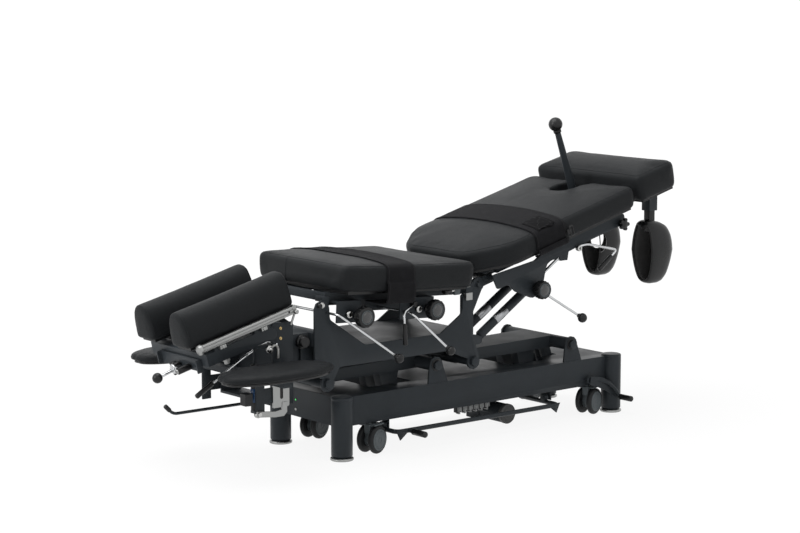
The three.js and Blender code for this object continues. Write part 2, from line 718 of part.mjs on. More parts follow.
function upperFrame() {
  const plate = sheetY(rounded(sidePlateOutline(), sidePlateRadii), [frame.y - frame.plate, frame.y]);
  const pivots = [framePivot.footX, framePivot.headX];
  const lugZ = framePivot.z;
  const rounds = pivots.map((x) => barY(lugs.radius, [frame.y - frame.plate, frame.y], x, lugZ, sides.large));
  const holes = pivots.map((x) => barY(lift.pinRadius + fit.running, [-frame.y * 2, frame.y * 2], x, lugZ));
  const axleHole = barY(thoracicAxle.radius + fit.running, [-frame.y * 2, frame.y * 2], thoracicAxle.x, thoracicAxle.z);
  const side = joined(plate, rounds);
  const deck = block(deckX, [-frame.y + fit.overrun, frame.y - fit.overrun], [frame.beamTop - frame.deck, frame.beamTop]);
  const { pivotX, pivotZ } = pelvisPivot;
  const earPlate = sheetY(rearEarOutline(), rearEar.y);
  const earRound = barY(rearEar.radius, rearEar.y, pivotX, pivotZ, sides.large);
  const fillerZ = [footPostTop - rearEar.root + rearEar.step, footPostTop - rearEar.step * 2];
  const fillerX = [footPostX - frame.postWidth.foot + rearEar.step, footPostX - rearEar.step];
  const filler = block(fillerX, [rearEar.y[1] - fit.overrun, frame.y - fit.overrun], fillerZ);
  const pinHole = barY(pelvisPivot.pinRadius + fit.running, [-frame.y * 2, frame.y * 2], pivotX, pivotZ);
  const rearEars = [earPlate, earRound, filler].flatMap((solid) => [solid, mirrored(solid)]);
  const clampX = [footPostX - clampBlock.back, footPostX - clampBlock.back + clampBlock.width];
  const clampZ = [footPostTop - clampBlock.seat, footPostTop + clampBlock.rise];
  const clamp = block(clampX, [frame.y - frame.plate, frame.y + clampBlock.proud], clampZ);
  const body = joined(side, mirrored(side), deck, rearEars, strut.y.map(strutBracket), clamp, mirrored(clamp));
  return without(body, holes, axleHole, pinHole);
}

// Head tower and arm rests

const tower = {
  x: [-839, -761],
  y: 140,
  plate: 6,
  z: [200, 455],
  earRadius: 22,
  boomZ: [372, 413],
  boomEnd: -700,
  webZ: [240, 440],
  webX: [-772, -766],
  footZ: [200, 208],
};
const armRest = {
  padX: [-1095, -695],
  padHalfWidth: 93,
  padY: 236,
  padZ: [316, 340],
  boardInset: 14,
  boardBottom: 308,
  sides: 20,
  toe: 4,
  beamX: [-906, -874],
  beamZ: [286, 307.7],
  plateY: [140.4, 145.4],
  plateX: [-906, -780],
  plateZ: [212, 260],
  slotX: [-832, -796],
  slotZ: 236,
  slotHalf: 5,
  travel: 80,
  springX: -899,
  springY: 128,
  springZ: [194, 336],
  springRadius: 11,
  rodRadius: 4,
  rodEnd: 392,
  boltZ: 200,
  legZ: 186,
};
const restHandle = { x: -832, z: 188, radius: 4.5, bossRadius: 9, halfWidth: 6, lugY: [7, 12], pinRadius: 3 };

function headTower() {
  const { x, y, plate, z, earRadius, boomZ, boomEnd, webZ, webX, footZ } = tower;
  const cheek = joined(
    block(x, [y - plate, y], z),
    barY(earRadius, [y - plate, y], head.pivotX, head.pivotZ, sides.large),
    sheetY([[head.pivotX, head.pivotZ - earRadius], [x[1], z[1] - earRadius * 4], [x[1], z[1]], [head.pivotX, head.pivotZ + earRadius]], [y - plate, y]),
  );
  const inner = y - plate + fit.overrun;
  const web = block(webX, [-inner, inner], webZ);
  const foot = block([x[0], x[1]], [-inner, inner], footZ);
  const boom = block([webX[0], boomEnd + fit.overrun], [-inner, inner], boomZ);
  const wide = frame.y - frame.plate - fit.gap;
  const shoulder = block([boomEnd, boomEnd + 50], [-wide, wide], boomZ);
  const lug = block([restHandle.x - 9, restHandle.x + 9], restHandle.lugY, [restHandle.z - 9, footZ[0] + fit.overrun]);
  const pin = barY(restHandle.pinRadius, [-restHandle.lugY[1], restHandle.lugY[1]], restHandle.x, restHandle.z);
  const hole = barY(headFrame.pinRadius + fit.running, [-y * 2, y * 2], head.pivotX, head.pivotZ);
  const { springX, springY, rodRadius, rodEnd, springZ, travel } = armRest;
  const rod = barZ(rodRadius, [springZ[1] - travel - 20, rodEnd], springX, -springY);
  const arm = block([springX - 8, x[0] + fit.overrun], [-springY - 8, -springY + 8], [rodEnd - 8, rodEnd]);
  const [leverX, , leverZ] = releaseLever.path[0];
  const leverHole = barY(releaseLever.pinRadius + fit.running, [-y * 2, 0], leverX, leverZ);
  const body = without(joined(cheek, mirrored(cheek), web, foot, boom, shoulder, lug, mirrored(lug)), hole, leverHole);
  return joined(body, pin, rod, arm);
}

function ellipse([x0, x1], halfWidth, y, grow = 0) {
  return Array.from({ length: armRest.sides }, (_, k) => {
    const angle = (2 * Math.PI * k) / armRest.sides;
    const [c, s] = [Math.cos(angle), Math.sin(angle)];
    const square = Math.abs(c * s) * 0.12 + 1;
    return [(x0 + x1) / 2 + ((x1 - x0) / 2 + grow) * c * square, y + (halfWidth + grow) * s * square];
  });
}

function armRestPad() {
  const { padX, padHalfWidth, padY, padZ, boardInset, boardBottom } = armRest;
  const [z0, z1] = padZ;
  const level = (inset, z) => ellipse(padX, padHalfWidth, -padY, -inset).map(([x, y]) => new THREE.Vector3(x, y, z));
  const soft = lofted([
    level(6, z0), level(1, z0 + 5), level(0, z0 + 11), level(3, z0 + 18), level(10, z1 - 3), level(26, z1), level(60, z1 + 1),
  ]);
  return soft.add(sheetZ(ellipse(padX, padHalfWidth, -padY, -boardInset), [boardBottom, z0 + fit.overrun / 2]));
}

function armRestCarriage() {
  const { padY, beamX, beamZ, plateY, plateX, plateZ, slotX, slotZ, slotHalf, springX, springY, boltZ, legZ } = armRest;
  const beam = block(beamX, [-padY - 50, padY + 50], beamZ);
  const post = block(beamX, plateY, [legZ, beamZ[1]]);
  const side = joined(post, block(plateX, plateY, plateZ));
  const slot = block(slotX, [plateY[0] - fit.overrun, plateY[1] + fit.overrun], [slotZ - slotHalf, slotZ + slotHalf]);
  const slotted = side.subtract(slot);
  const foot = block([springX - 9, springX + 9], [-plateY[1], -springY + 9], [legZ, armRest.springZ[0] - fit.gap]);
  const bolt = barZ(5, [armRest.springZ[0] - fit.overrun, boltZ], springX, -springY);
  const sag = barZ(armRest.springRadius + fit.running, [armRest.springZ[0], beamZ[1] + fit.overrun], springX, -springY);
  const wide = joined(beam).subtract(sag);
  return joined(wide, slotted, mirrored(slotted), foot, bolt);
}

function armRestSpring() {
  const { springX, springY, springZ, springRadius, rodRadius, travel, boltZ } = armRest;
  const tube = barZ(springRadius, springZ, springX, -springY);
  const bore = barZ(rodRadius + fit.running, [springZ[1] - travel - 32, springZ[1] + fit.overrun], springX, -springY);
  const socket = barZ(5 + fit.running, [springZ[0] - fit.overrun, boltZ + fit.running], springX, -springY);
  return without(tube, bore, socket);
}

function armRestHandle() {
  const { x, z, radius, bossRadius, halfWidth, pinRadius } = restHandle;
  const rod = bentRod([[x, 0, z], [-1111, 0, z + 2], [-1138, 0, 217]], radius, 20);
  const boss = barY(bossRadius, [-halfWidth, halfWidth], x, z);
  return joined(rod, boss).subtract(barY(pinRadius + fit.running, [-20, 20], x, z));
}

// Head section, in its own tilted frame

const headFrame = { y: 150, plate: 5, x: [-243, 0], z: [-15, 24], pinRadius: 8, radius: 20, cross: [[-243, -237], [-70, -64]] };
const bolster = {
  x: [-294, 111],
  y: 95,
  halfWidth: 50,
  z: [55, 168],
  footX: [[-212, -188], [-62, -38]],
  footZ: [30, 50],
  boardZ: [47, 56],
  boardInset: 8,
  arcSteps: 10,
};
const guide = { z: 38, radius: 6, postHalf: 9, y: [140, 150] };
const rail = { y: [-163.5, -150.3], z: [37, 61], x: [-259, 86], grooveDepth: 3, discRadius: 15, discX: [-270, -258.5] };
const crosshead = { x: [-249.5, -243.4], y: [-118, 98], z: [-34, 6], turned: 14, wall: 6 };
const headLever = { ball: [-336, 0, -38], ballRadius: 16, rodRadius: 5, knobRadius: 17, from: [-252, 0, -34] };
const releaseLever = {
  path: [[-826, -100, 392], [-899, -100, 366], [-1033, -100, 291], [-1094, -100, 255]],
  pinRadius: 4,
  pinY: [-147, -96],
  gripRadius: 8,
  rodRadius: 4,
};

function headTray() {
  const { y, plate, x, z, pinRadius, radius, cross } = headFrame;
  const side = joined(block(x, [y - plate, y], z), barY(radius, [y - plate, y], 0, 0, sides.large));
  const tops = cross.map((span) => block(span, [-y + fit.overrun, y - fit.overrun], z));
  const top = block([-243, -64], [-y + fit.overrun, y - fit.overrun], [18, 24]);
  const pin = barY(pinRadius, [tower.y - tower.plate - fit.overrun, y], 0, 0);
  const posts = bolster.footX.flatMap(([a, b]) => {
    const mid = (a + b) / 2;
    const post = block([mid - guide.postHalf, mid + guide.postHalf], guide.y, [z[1] - fit.overrun, guide.z + guide.postHalf]);
    return [post, mirrored(post), barY(guide.radius, [-guide.y[1], guide.y[1]], mid, guide.z)];
  });
  return joined(side, mirrored(side), tops, top, pin, mirrored(pin), posts);
}

function headBolster() {
  const { x, y, halfWidth: w, z, footX, footZ, boardZ, boardInset } = bolster;
  const height = z[1] - z[0];
  const halfRing = (grow) => {
    const base = [[-w + 6 + grow, z[0]], [w - 6 - grow, z[0]]];
    const arc = Array.from({ length: bolster.arcSteps + 1 }, (_, k) => {
      const angle = (Math.PI * k) / bolster.arcSteps;
      const [c, s] = [Math.cos(angle), Math.sin(angle)];
      return [(w - grow) * Math.sign(c) * Math.abs(c) ** 0.72, z[0] + 16 + (height - 16 - grow) * s ** 0.86];
    });
    return [...base, [w - grow, z[0] + 8], ...arc, [-w + grow, z[0] + 8]];
  };
  const stations = [[x[0], 16], [x[0] + 4, 7], [x[0] + 12, 1.5], [x[0] + 24, 0], [x[1] - 24, 0], [x[1] - 12, 1.5], [x[1] - 4, 7], [x[1], 16]];
  const rings = stations.map(([at, grow]) => halfRing(grow).map(([u, v]) => new THREE.Vector3(at, u - y, Math.max(v, z[0]))));
  const soft = lofted(rings);
  const board = block([x[0] + boardInset * 2, x[1] - boardInset * 2], [-y - w + boardInset * 2, -y + w - boardInset * 2], boardZ);
  const feet = footX.map((span) => block(span, [-y - 14, -y + 14], [footZ[0], boardZ[0] + fit.overrun]));
  const bores = footX.map(([a, b]) => barY(guide.radius + fit.running, [-w * 3, w * 3], (a + b) / 2, guide.z));
  return without(joined(soft, board, feet), bores);
}

function headRail() {
  const { y, z, x, grooveDepth, discRadius, discX } = rail;
  const bar = block(x, y, z);
  const groove = (height) => block([x[0] - fit.overrun, x[1] + fit.overrun], [y[0] - fit.overrun, y[0] + grooveDepth], height);
  const disc = barX(discRadius, [discX[0], x[0] + fit.overrun], (y[0] + y[1]) / 2, (z[0] + z[1]) / 2, sides.large);
  return joined(without(bar, groove([z[0] + 5, z[0] + 9]), groove([z[1] - 9, z[1] - 5])), disc);
}

function headCrosshead() {
  const { x, y, z, turned, wall } = crosshead;
  const web = block(x, y, z);
  const ends = [[y[0], y[0] + wall], [y[1] - wall, y[1]]].map((span) => block([x[0] - turned, x[1]], span, z));
  const grip = barX(9, [-269, x[0] + fit.overrun], -60, -22);
  return joined(web, ends, grip);
}

function headBallLever() {
  const { ball: at, ballRadius, rodRadius, knobRadius, from } = headLever;
  const knob = barX(knobRadius, [from[0] - 30, crosshead.x[0] - fit.gap], 0, -31);
  return joined(knob, bar(from, at, rodRadius), ball(ballRadius, at));
}

function headReleaseLever() {
  const { path, gripRadius, rodRadius } = releaseLever;
  const [start, knee, grip, tip] = path;
  const pin = barY(releaseLever.pinRadius, releaseLever.pinY, start[0], start[2]);
  return joined(bentRod([start, knee, grip, tip], rodRadius, 20), bar(grip, tip, gripRadius), pin);
}

// Middle section, in its own tilted frame

const middleCushion = {
  corners: [[-205, -232], [-58, -262], [322, -262], [322, 262], [-58, 262], [-205, 232]],
  radii: [30, 160, 36, 36, 160, 30],
  bottom: 0,
  top: 84,
  crown: 15,
  drawIn: 8,
  steps: 4,
  split: 6,
};
const board = { inset: 22, thickness: 8 };
const hinge = { x: 12, z: -15, radius: 5, thoracicY: [60, 80], lumbarY: [85, 105], halfWidth: 8, reach: 100, tie: 5 };
const middleFrame = {
  railY: [118, 148],
  railX: [-205, 310],
  railZ: [-36, -9],
  channelX: [[-212, -200], [296, 308]],
  plateY: [180, 186],
  plates: [[-190, -96], [62, 200]],
  headLug: { x: [-225, -202], z: [-52, -20] },
  footArm: { x: [300, 366], y: [120, 150.7], z: [-34, -12] },
  plateZ: [-100, -36],
  shelfZ: [-40, -32],
};
const strap = { x: [-57, 58], thickness: 4, clearance: 3.6, bottomZ: -40.3, innerY: 130 };
const knob = { radius: 32, y: [-240, -212], axleRadius: 6, capRadius: 14, capProud: 3 };
const thoracicKnob = { x: -549, z: 457 };
const lumbarKnob = { x: -263, z: 450 };
const thoracicLever = { path: [[-650, 120, 473], [-650, -226, 473], [-442, -265, 320]], radius: 4, ballRadius: 15 };
const lumbarLever = { path: [[-359, 192, 449], [-359, -226, 449], [-250, -287, 325]], radius: 4, ballRadius: 15 };
const lumbarRelease = {
  path: [[-326, -200, 472], [-378, -210, 452], [-388, -230, 349]],
  radius: 4,
  gripRadius: 8,
  gripShare: 0.35,
  hub: [-326, 472],
  hubRadius: 9,
  hubY: [-206, -186.3],
  pinRadius: 4,
};

const middlePad = () => cushion(middleCushion);

function padBoard({ corners, radii, bottom }) {
  const shrunk = radii.map((radius) => Math.max(radius - board.inset, 4));
  return sheetZ(rounded(inset(corners, board.inset), shrunk), [bottom - board.thickness, bottom + fit.overrun]);
}

const ordered = (a, b) => (a < b ? [a, b] : [b, a]);

// The half on one side of the split, -1 for the head end and 1 for the foot end, with its two hinge lugs
function middleHalf(side, lugY) {
  const { corners, split, top, bottom } = middleCushion;
  const whole = joined(middlePad(), padBoard(middleCushion));
  const far = side * spread(corners.map(([x]) => x));
  const width = spread(corners.map(([, y]) => y));
  const half = whole.intersect(block(ordered(side * split, far), [-width, width], [bottom - top, top * 2]));
  const hingeX = side * hinge.x;
  const lugX = [hingeX - hinge.halfWidth, hingeX + hinge.halfWidth];
  const lug = block(lugX, lugY, [hinge.z - hinge.halfWidth, -board.thickness - fit.gap]);
  const inner = hingeX - side * hinge.halfWidth;
  const reach = block(ordered(inner, side * hinge.reach), lugY, [-board.thickness - hinge.tie, -board.thickness / 2]);
  const hole = barY(hinge.radius + fit.running, [-width, width], hingeX, hinge.z);
  return without(joined(half, lug, mirrored(lug), reach, mirrored(reach)), hole);
}

function middleCarriage() {
  const { railY, railX, railZ, channelX, plateY, plates, plateZ, shelfZ } = middleFrame;
  const { headLug: headLugAt, footArm: footArmAt } = middleFrame;
  const railBar = block(railX, railY, railZ);
  const channels = channelX.map((span) => block(span, [-railY[1], railY[1]], railZ));
  const pins = [-hinge.x, hinge.x].map((x) => {
    return barY(hinge.radius, [-railY[1] + fit.overrun, railY[1] - fit.overrun], x, hinge.z);
  });
  const boxes = plates.flatMap(([a, b]) => {
    const plate = block([a, b], plateY, plateZ);
    const shelf = block([a, b], [railY[0], plateY[1]], shelfZ);
    return [plate, shelf, mirrored(plate), mirrored(shelf)];
  });
  const wide = frame.y - frame.plate - fit.gap;
  const headLug = block(headLugAt.x, [railY[1] - fit.overrun, wide], headLugAt.z);
  const reach = block(headLugAt.x, [railY[0], wide], [railZ[0], headLugAt.z[1]]);
  const footArm = block(footArmAt.x, footArmAt.y, footArmAt.z);
  const paired = [railBar, headLug, reach, footArm].flatMap((solid) => [solid, mirrored(solid)]);
  const [axleX, , axleZ] = lumbarLever.path[0];
  const axleHole = barY(lumbarLever.radius + fit.running, [-frame.y * 2, frame.y * 2], axleX, axleZ);
  const releaseHole = barY(lumbarRelease.pinRadius + fit.running, [-frame.y * 2, 0], ...lumbarRelease.hub);
  const holes = [axleHole, releaseHole].map((solid) => intoSection(middle, solid));
  return without(joined(paired, channels, pins, boxes), holes);
}

// Outline of a cushion across its width, from the top middle to the bottom of one side, moved outwards
function crossProfile({ corners, bottom, top, crown, drawIn }, out) {
  const half = Math.max(...corners.map(([, y]) => y));
  const across = 2 * half - 0;
  return { half, points: [
    [0, top + crown * 0.75 + out],
    [half - across * 0.3, top + crown * 0.75 + out],
    [half - across * 0.2, top + crown * 0.63 + out],
    [half - across * 0.12, top + crown * 0.37 + out],
    [half - across * 0.05 + out / 2, top + out],
    [half - drawIn * 0.25 + out, bottom + (top - bottom) * 0.93 + out / 2],
    [half + out, bottom + (top - bottom) * 0.7],
    [half - drawIn * 0.1 + out, bottom + (top - bottom) * 0.3],
    [half - drawIn + out, bottom],
  ] };
}

function band(spec, { x, thickness, clearance, bottomZ, innerY }) {
  const inner = crossProfile(spec, clearance).points;
  const outer = crossProfile(spec, clearance + thickness).points;
  const sideY = inner.at(-1)[0];
  const closeInner = [[sideY, bottomZ + thickness], [innerY, bottomZ + thickness]];
  const closeOuter = [[innerY, bottomZ], [sideY + thickness, bottomZ]];
  const right = [...inner, ...closeInner];
  const back = [...closeOuter, ...outer.slice().reverse()];
  const half = [...right, ...back];
  const one = sheetX(half.slice(0, -1).concat([[0, outer[0][1]]]), x);
  return one.add(mirrored(one));
}

function knobTurn({ x, z }, shift = 0) {
  const [y0, y1] = knob.y;
  const body = barY(knob.radius, [y0 + shift, y1 + shift], x, z, sides.large);
  const cap = barY(knob.capRadius, [y0 + shift - knob.capProud, y0 + shift + fit.overrun], x, z);
  const hub = barY(knob.axleRadius * 2, [y1 + shift - fit.overrun, -middleFrame.plateY[1] - fit.gap], x, z);
  return joined(body, cap, hub);
}

function leverRod({ path, radius, ballRadius }) {
  return joined(bentRod(path, radius, radius * 5), ball(ballRadius, path.at(-1)));
}

function lumbarReleaseLever() {
  const { hub, hubRadius, hubY, pinRadius } = lumbarRelease;
  const boss = barY(hubRadius, hubY, ...hub);
  const pin = barY(pinRadius, [hubY[0], -middleFrame.plateY[0] + fit.overrun * 2], ...hub);
  return joined(gripRod(lumbarRelease), boss, pin);
}

function gripRod({ path, radius, gripRadius, gripShare }) {
  const [from, to] = path.slice(-2).map((p) => new THREE.Vector3(...p));
  const start = from.clone().lerp(to, gripShare).toArray();
  return joined(bentRod(path, radius, radius * 3), bar(start, path.at(-1), gripRadius));
}

// Pelvic section, in its own tilted frame

const pelvicCushion = {
  corners: [[-46, -150], [90, -262], [677, -262], [677, 262], [90, 262], [-46, 150]],
  radii: [120, 150, 34, 34, 150, 120],
  bottom: 48,
  top: 121,
  crown: 24,
  drawIn: 7,
  steps: 4,
};
const notch = { innerX: 536, halfWidth: 42, mouthHalfWidth: 78, endX: 720 };
const pelvicFrame = {
  plateY: [194, 200],
  plate: [[30, 25], [41, -28], [90, -28], [112, -62], [180, -112], [226, -100], [269, -19], [486, -12], [650, -14], [650, 24], [330, 24], [216, 8]],
  blocks: [[392, 422], [606, 646]],
  blockZ: [-12, 20],
  beamY: [60, 96],
  beamX: [60, 620],
  beamZ: [-12, 12],
  tubes: [52, 300],
  tubeZ: 6,
  tubeRadius: 9,
  restX: [290, 310],
  hingeX: 620,
  hingeZ: 31,
  hingeRadius: 6,
  hingeY: [96, 197],
  lugY: [104, 134],
  lugHalf: 9,
  cheekY: [142, 150.4],
  cheekRadius: 22,
};
const pelvicStrap = { x: [190, 330], thickness: 4, clearance: 0.5, bottomZ: 33, innerY: 236 };
const patch = { x: [215, 305], length: 70, proud: 3 };
const pelvicKnob = { x: 199, z: 469 };
const pelvicLever = { end: [351, -262, 364], hubRadius: 20, rodRadius: 4, ballRadius: 16, hubY: [-211.5, -200.4] };
const pelvicRelease = { path: [[384, -206, 598], [420, -212, 602], [556, -214, 571], [472, -214, 509]], radius: 4, gripRadius: 8, hubRadius: 10 };
const wing = { x: 585, z: 656, radius: 14, y: [-226, -200.4], halfLength: 26, halfHeight: 6, axleRadius: 5 };
const handle = { foot: [576, 0, 690], collarX: 624, collarHeight: 16, ball: [467, 0, 989], ballRadius: 24, radii: [15, 10], socketRadius: 22 };

function notchCutter(z) {
  const { innerX, halfWidth: h, mouthHalfWidth: m, endX } = notch;
  const points = [[innerX, -h], [pelvicCushion.corners[2][0] - 40, -h], [endX, -m], [endX, m], [pelvicCushion.corners[2][0] - 40, h], [innerX, h]];
  return sheetZ(rounded(points, [h - 2, 60, 0, 0, 60, h - 2], 5), z);
}

function pelvicPad() {
  const { hingeX, hingeZ, hingeRadius, lugY, lugHalf } = pelvicFrame;
  const soft = joined(cushion(pelvicCushion), padBoard(pelvicCushion));
  const cut = soft.subtract(notchCutter([0, 300]));
  const lug = block([hingeX - lugHalf, hingeX + lugHalf], lugY, [hingeZ - lugHalf, pelvicCushion.bottom - fit.overrun]);
  const hole = barY(hingeRadius + fit.running, [-400, 400], hingeX, hingeZ);
  return without(joined(cut, lug, mirrored(lug)), hole);
}

function pelvicChassis() {
  const f = pelvicFrame;
  const side = sheetY(rounded(f.plate, [8, 8, 20, 20, 24, 20, 30, 20, 8, 8, 20, 20]), f.plateY);
  const inner = f.plateY[0] + fit.overrun;
  const blocks = f.blocks.map((span) => block(span, [-inner, inner], f.blockZ));
  const beam = block(f.beamX, f.beamY, f.beamZ);
  const tubes = f.tubes.map((x) => barY(f.tubeRadius, [-inner, inner], x, f.tubeZ));
  const rest = block(f.restX, [f.plateY[0] - 40, inner], [f.tubeZ, pelvicCushion.bottom - board.thickness - 0.4]);
  const pins = barY(f.hingeRadius, f.hingeY, f.hingeX, f.hingeZ);
  const post = block([f.hingeX - 10, f.hingeX + 10], [f.plateY[0] - 14, f.plateY[1]], [f.blockZ[1] - fit.overrun, f.hingeZ + 8]);
  const cheekBar = block([0, 70], [f.cheekY[0], f.cheekY[1]], [-16, 16]);
  const cheekRound = barY(f.cheekRadius, f.cheekY, 0, 0, sides.large);
  const cheekPin = barY(pelvisPivot.pinRadius, [f.cheekY[0], rearEar.y[1] + 8], 0, 0);
  const cheekTie = barY(f.tubeRadius, [f.cheekY[0], inner], f.tubes[0], f.tubeZ);
  const paired = [side, beam, rest, pins, post, cheekBar, cheekRound, cheekPin, cheekTie].flatMap((s) => [s, mirrored(s)]);
  const rodRoom = footSlide.y.map((y) => barX(footSlide.radius + fit.running, [f.blocks[0][0] - 40, f.blocks[1][1] + 40], y, footSlide.z));
  return without(joined(blocks, tubes, paired), rodRoom);
}

// What hangs on the pelvic frame at places known in the upright frame
function pelvicFixtures() {
  const [ux, uz] = strut.upper;
  const pins = strut.y.map((y) => {
    const pin = barY(strut.pinRadius, [y - strut.pinHalfLength, y + strut.pinHalfLength], ux, uz);
    const cheeks = [[y - strut.pinHalfLength, y - strut.pinHalfLength + 5], [y + strut.pinHalfLength - 5, y + strut.pinHalfLength]];
    return joined(pin, cheeks.map((span) => sheetY([[ux - 16, uz - 12], [ux + 16, uz - 12], [ux + 26, uz + 42], [ux - 26, uz + 28]], span)));
  });
  const axle = barY(knob.axleRadius - fit.running, [knob.y[0] + 6, -pelvicFrame.plateY[0] - fit.overrun], pelvicKnob.x, pelvicKnob.z);
  const release = barY(pelvicRelease.hubRadius / 2, [pelvicRelease.path[0][1] - 8, -pelvicFrame.plateY[0] - fit.overrun], ...releaseHub);
  const wingAxle = barY(wing.axleRadius, [wing.y[0] + 8, -pelvicFrame.plateY[0] - fit.overrun], wing.x, wing.z);
  return joined([...pins, axle, release, wingAxle]);
}

const releaseHub = [384, 590];

function wingKnob() {
  const { x, z, radius, y, halfLength, halfHeight, axleRadius } = wing;
  const hub = barY(radius, y, x, z);
  const wings = block([x - halfLength, x + halfLength], [y[0], y[0] + radius], [z - halfHeight, z + halfHeight]);
  return joined(hub, wings).subtract(barY(axleRadius + fit.running, [y[0] + 8 - fit.running, y[1] + fit.overrun], x, z));
}

function pelvicCockingLever() {
  const { end, hubRadius, rodRadius, ballRadius, hubY } = pelvicLever;
  const hub = barY(hubRadius, hubY, pelvicKnob.x, pelvicKnob.z);
  const start = [pelvicKnob.x + hubRadius / 2, (hubY[0] + hubY[1]) / 2, pelvicKnob.z - hubRadius / 2];
  const bend = [pelvicKnob.x + knob.radius + 8, (hubY[0] + hubY[1]) / 2, pelvicKnob.z - hubRadius / 2 - 12];
  const rod = bentRod([start, bend, end], rodRadius, 12);
  const axle = barY(knob.axleRadius, [hubY[0] - fit.overrun, hubY[1] + fit.overrun], pelvicKnob.x, pelvicKnob.z);
  return joined(hub, rod, ball(ballRadius, end)).subtract(axle);
}

function pelvicKnobTurn() {
  const { x, z } = pelvicKnob;
  const [outer, inner] = [knob.y[0] - 2, pelvicLever.hubY[0] - fit.gap];
  const body = barY(knob.radius - 3, [outer, inner], x, z, sides.large);
  const cap = barY(knob.capRadius, [outer - knob.capProud, outer + fit.overrun], x, z);
  return joined(body, cap).subtract(barY(knob.axleRadius, [knob.y[0] + 5, inner + fit.overrun], x, z));
}

function pelvicReleaseLever() {
  const { path, radius, gripRadius, hubRadius } = pelvicRelease;
  const [x, z] = releaseHub;
  const hub = barY(hubRadius, [path[0][1] - 8, -pelvicFrame.plateY[1] - fit.gap - fit.running], x, z);
  const hole = barY(hubRadius / 2 + fit.running, [path[0][1] - 12, 0], x, z);
  const rod = bentRod([[x, path[0][1] - 3, z + hubRadius - 2], ...path.slice(1, 3), path[3]], radius, 14);
  const grip = bar(new THREE.Vector3(...path[2]).lerp(new THREE.Vector3(...path[3]), 0.3).toArray(), path[3], gripRadius);
  return joined(hub, rod, grip).subtract(hole);
}

function flexionHandle() {
  const { foot, ball: top, ballRadius, radii, socketRadius } = handle;
  const seat = pelvicFrame.blockZ[1] + fit.gap;
  const collar = barZ(socketRadius, [seat, seat + handle.collarHeight], handle.collarX, 0);
  return joined(bar(foot, top, radii[0], radii[1]), outOfSection(pelvis, collar), ball(ballRadius, top));
}

// Gas struts

function strutLine(t) {
  const [[lx, lz], [ux, uz]] = [strut.lower, strut.upper];
  const length = Math.hypot(ux - lx, uz - lz);
  return [lx + ((ux - lx) * t) / length, lz + ((uz - lz) * t) / length];
}

function strutPoint(y, t) {
  const [x, z] = strutLine(t);
  return [x, y, z];
}

function strutTube(y) {
  const { tubeRadius, tubeLength, rodRadius, eyeRadius, eyeHalfWidth, lower, pinRadius } = strut;
  const eye = barY(eyeRadius, [y - eyeHalfWidth, y + eyeHalfWidth], ...lower);
  const tube = bar(strutPoint(y, 0), strutPoint(y, tubeLength), tubeRadius);
  const trimmed = tube.subtract(barY(eyeRadius + 4, [y - 60, y - eyeHalfWidth], ...lower)).subtract(barY(eyeRadius + 4, [y + eyeHalfWidth, y + 60], ...lower));
  const bore = bar(strutPoint(y, tubeLength - 140), strutPoint(y, tubeLength + fit.overrun), rodRadius + fit.running);
  const hole = barY(pinRadius + fit.running, [y - 60, y + 60], ...lower);
  return without(joined(eye, trimmed), bore, hole);
}

function strutRod(y) {
  const { tubeLength, rodRadius, eyeRadius, eyeHalfWidth, upper, pinRadius, open, overlap } = strut;
  const [[lx, lz], [ux, uz]] = [strut.lower, strut.upper];
  const length = Math.hypot(ux - lx, uz - lz);
  const rod = bar(strutPoint(y, tubeLength - overlap), strutPoint(y, length - eyeRadius / 2), rodRadius);
  const eye = barY(eyeRadius, [y - eyeHalfWidth, y + eyeHalfWidth], ...upper);
  return joined(rod, eye).subtract(barY(pinRadius + open, [y - 60, y + 60], ...upper));
}

// Foot section, sliding on the pelvic frame

const footSlide = { y: [-38, 38], z: 3, radius: 9, x: [312, 866] };
const footCushion = {
  corners: [[688, -262], [884, -262], [884, 262], [688, 262]],
  radii: [24, 40, 40, 24],
  bottom: 52,
  top: 146,
  crown: 16,
  drawIn: 6,
  steps: 4,
};
const footPlate = { x: [712, 868], y: 158, z: [28, 43.7], blocks: [[712, 728], [848, 868]], blockY: 52, blockZ: [-10, 30] };
const post = { x: 800, y: 128, half: 14, bottom: 596, top: 742, sleeveHalf: 19, sleeveZ: [680, 752] };
const cup = {
  centre: [812, -128, 541],
  radii: [76, 56, 119],
  wall: 7,
  mouthX: 779,
  hole: { from: [750, 60, 548], to: [900, 242, 548], radius: 24, tall: 1.5 },
};

function footPad() {
  return joined(cushion(footCushion), padBoard(footCushion));
}

function footCarrierPlate() {
  const { x, y, z, blocks, blockY, blockZ } = footPlate;
  const plate = block(x, [-y, y], z);
  const feet = blocks.map((span) => block(span, [-blockY, blockY], blockZ));
  const rods = footSlide.y.map((at) => barX(footSlide.radius, footSlide.x, at, footSlide.z));
  return joined(plate, feet, rods);
}

function postSleeve(sign) {
  const { x, y, sleeveHalf, sleeveZ } = post;
  return block([x - sleeveHalf, x + sleeveHalf], [sign * y - sleeveHalf, sign * y + sleeveHalf], sleeveZ);
}

function postRoom(sign) {
  const half = post.half + fit.running;
  return block([post.x - half, post.x + half], [sign * post.y - half, sign * post.y + half], [post.bottom, post.top + fit.running]);
}

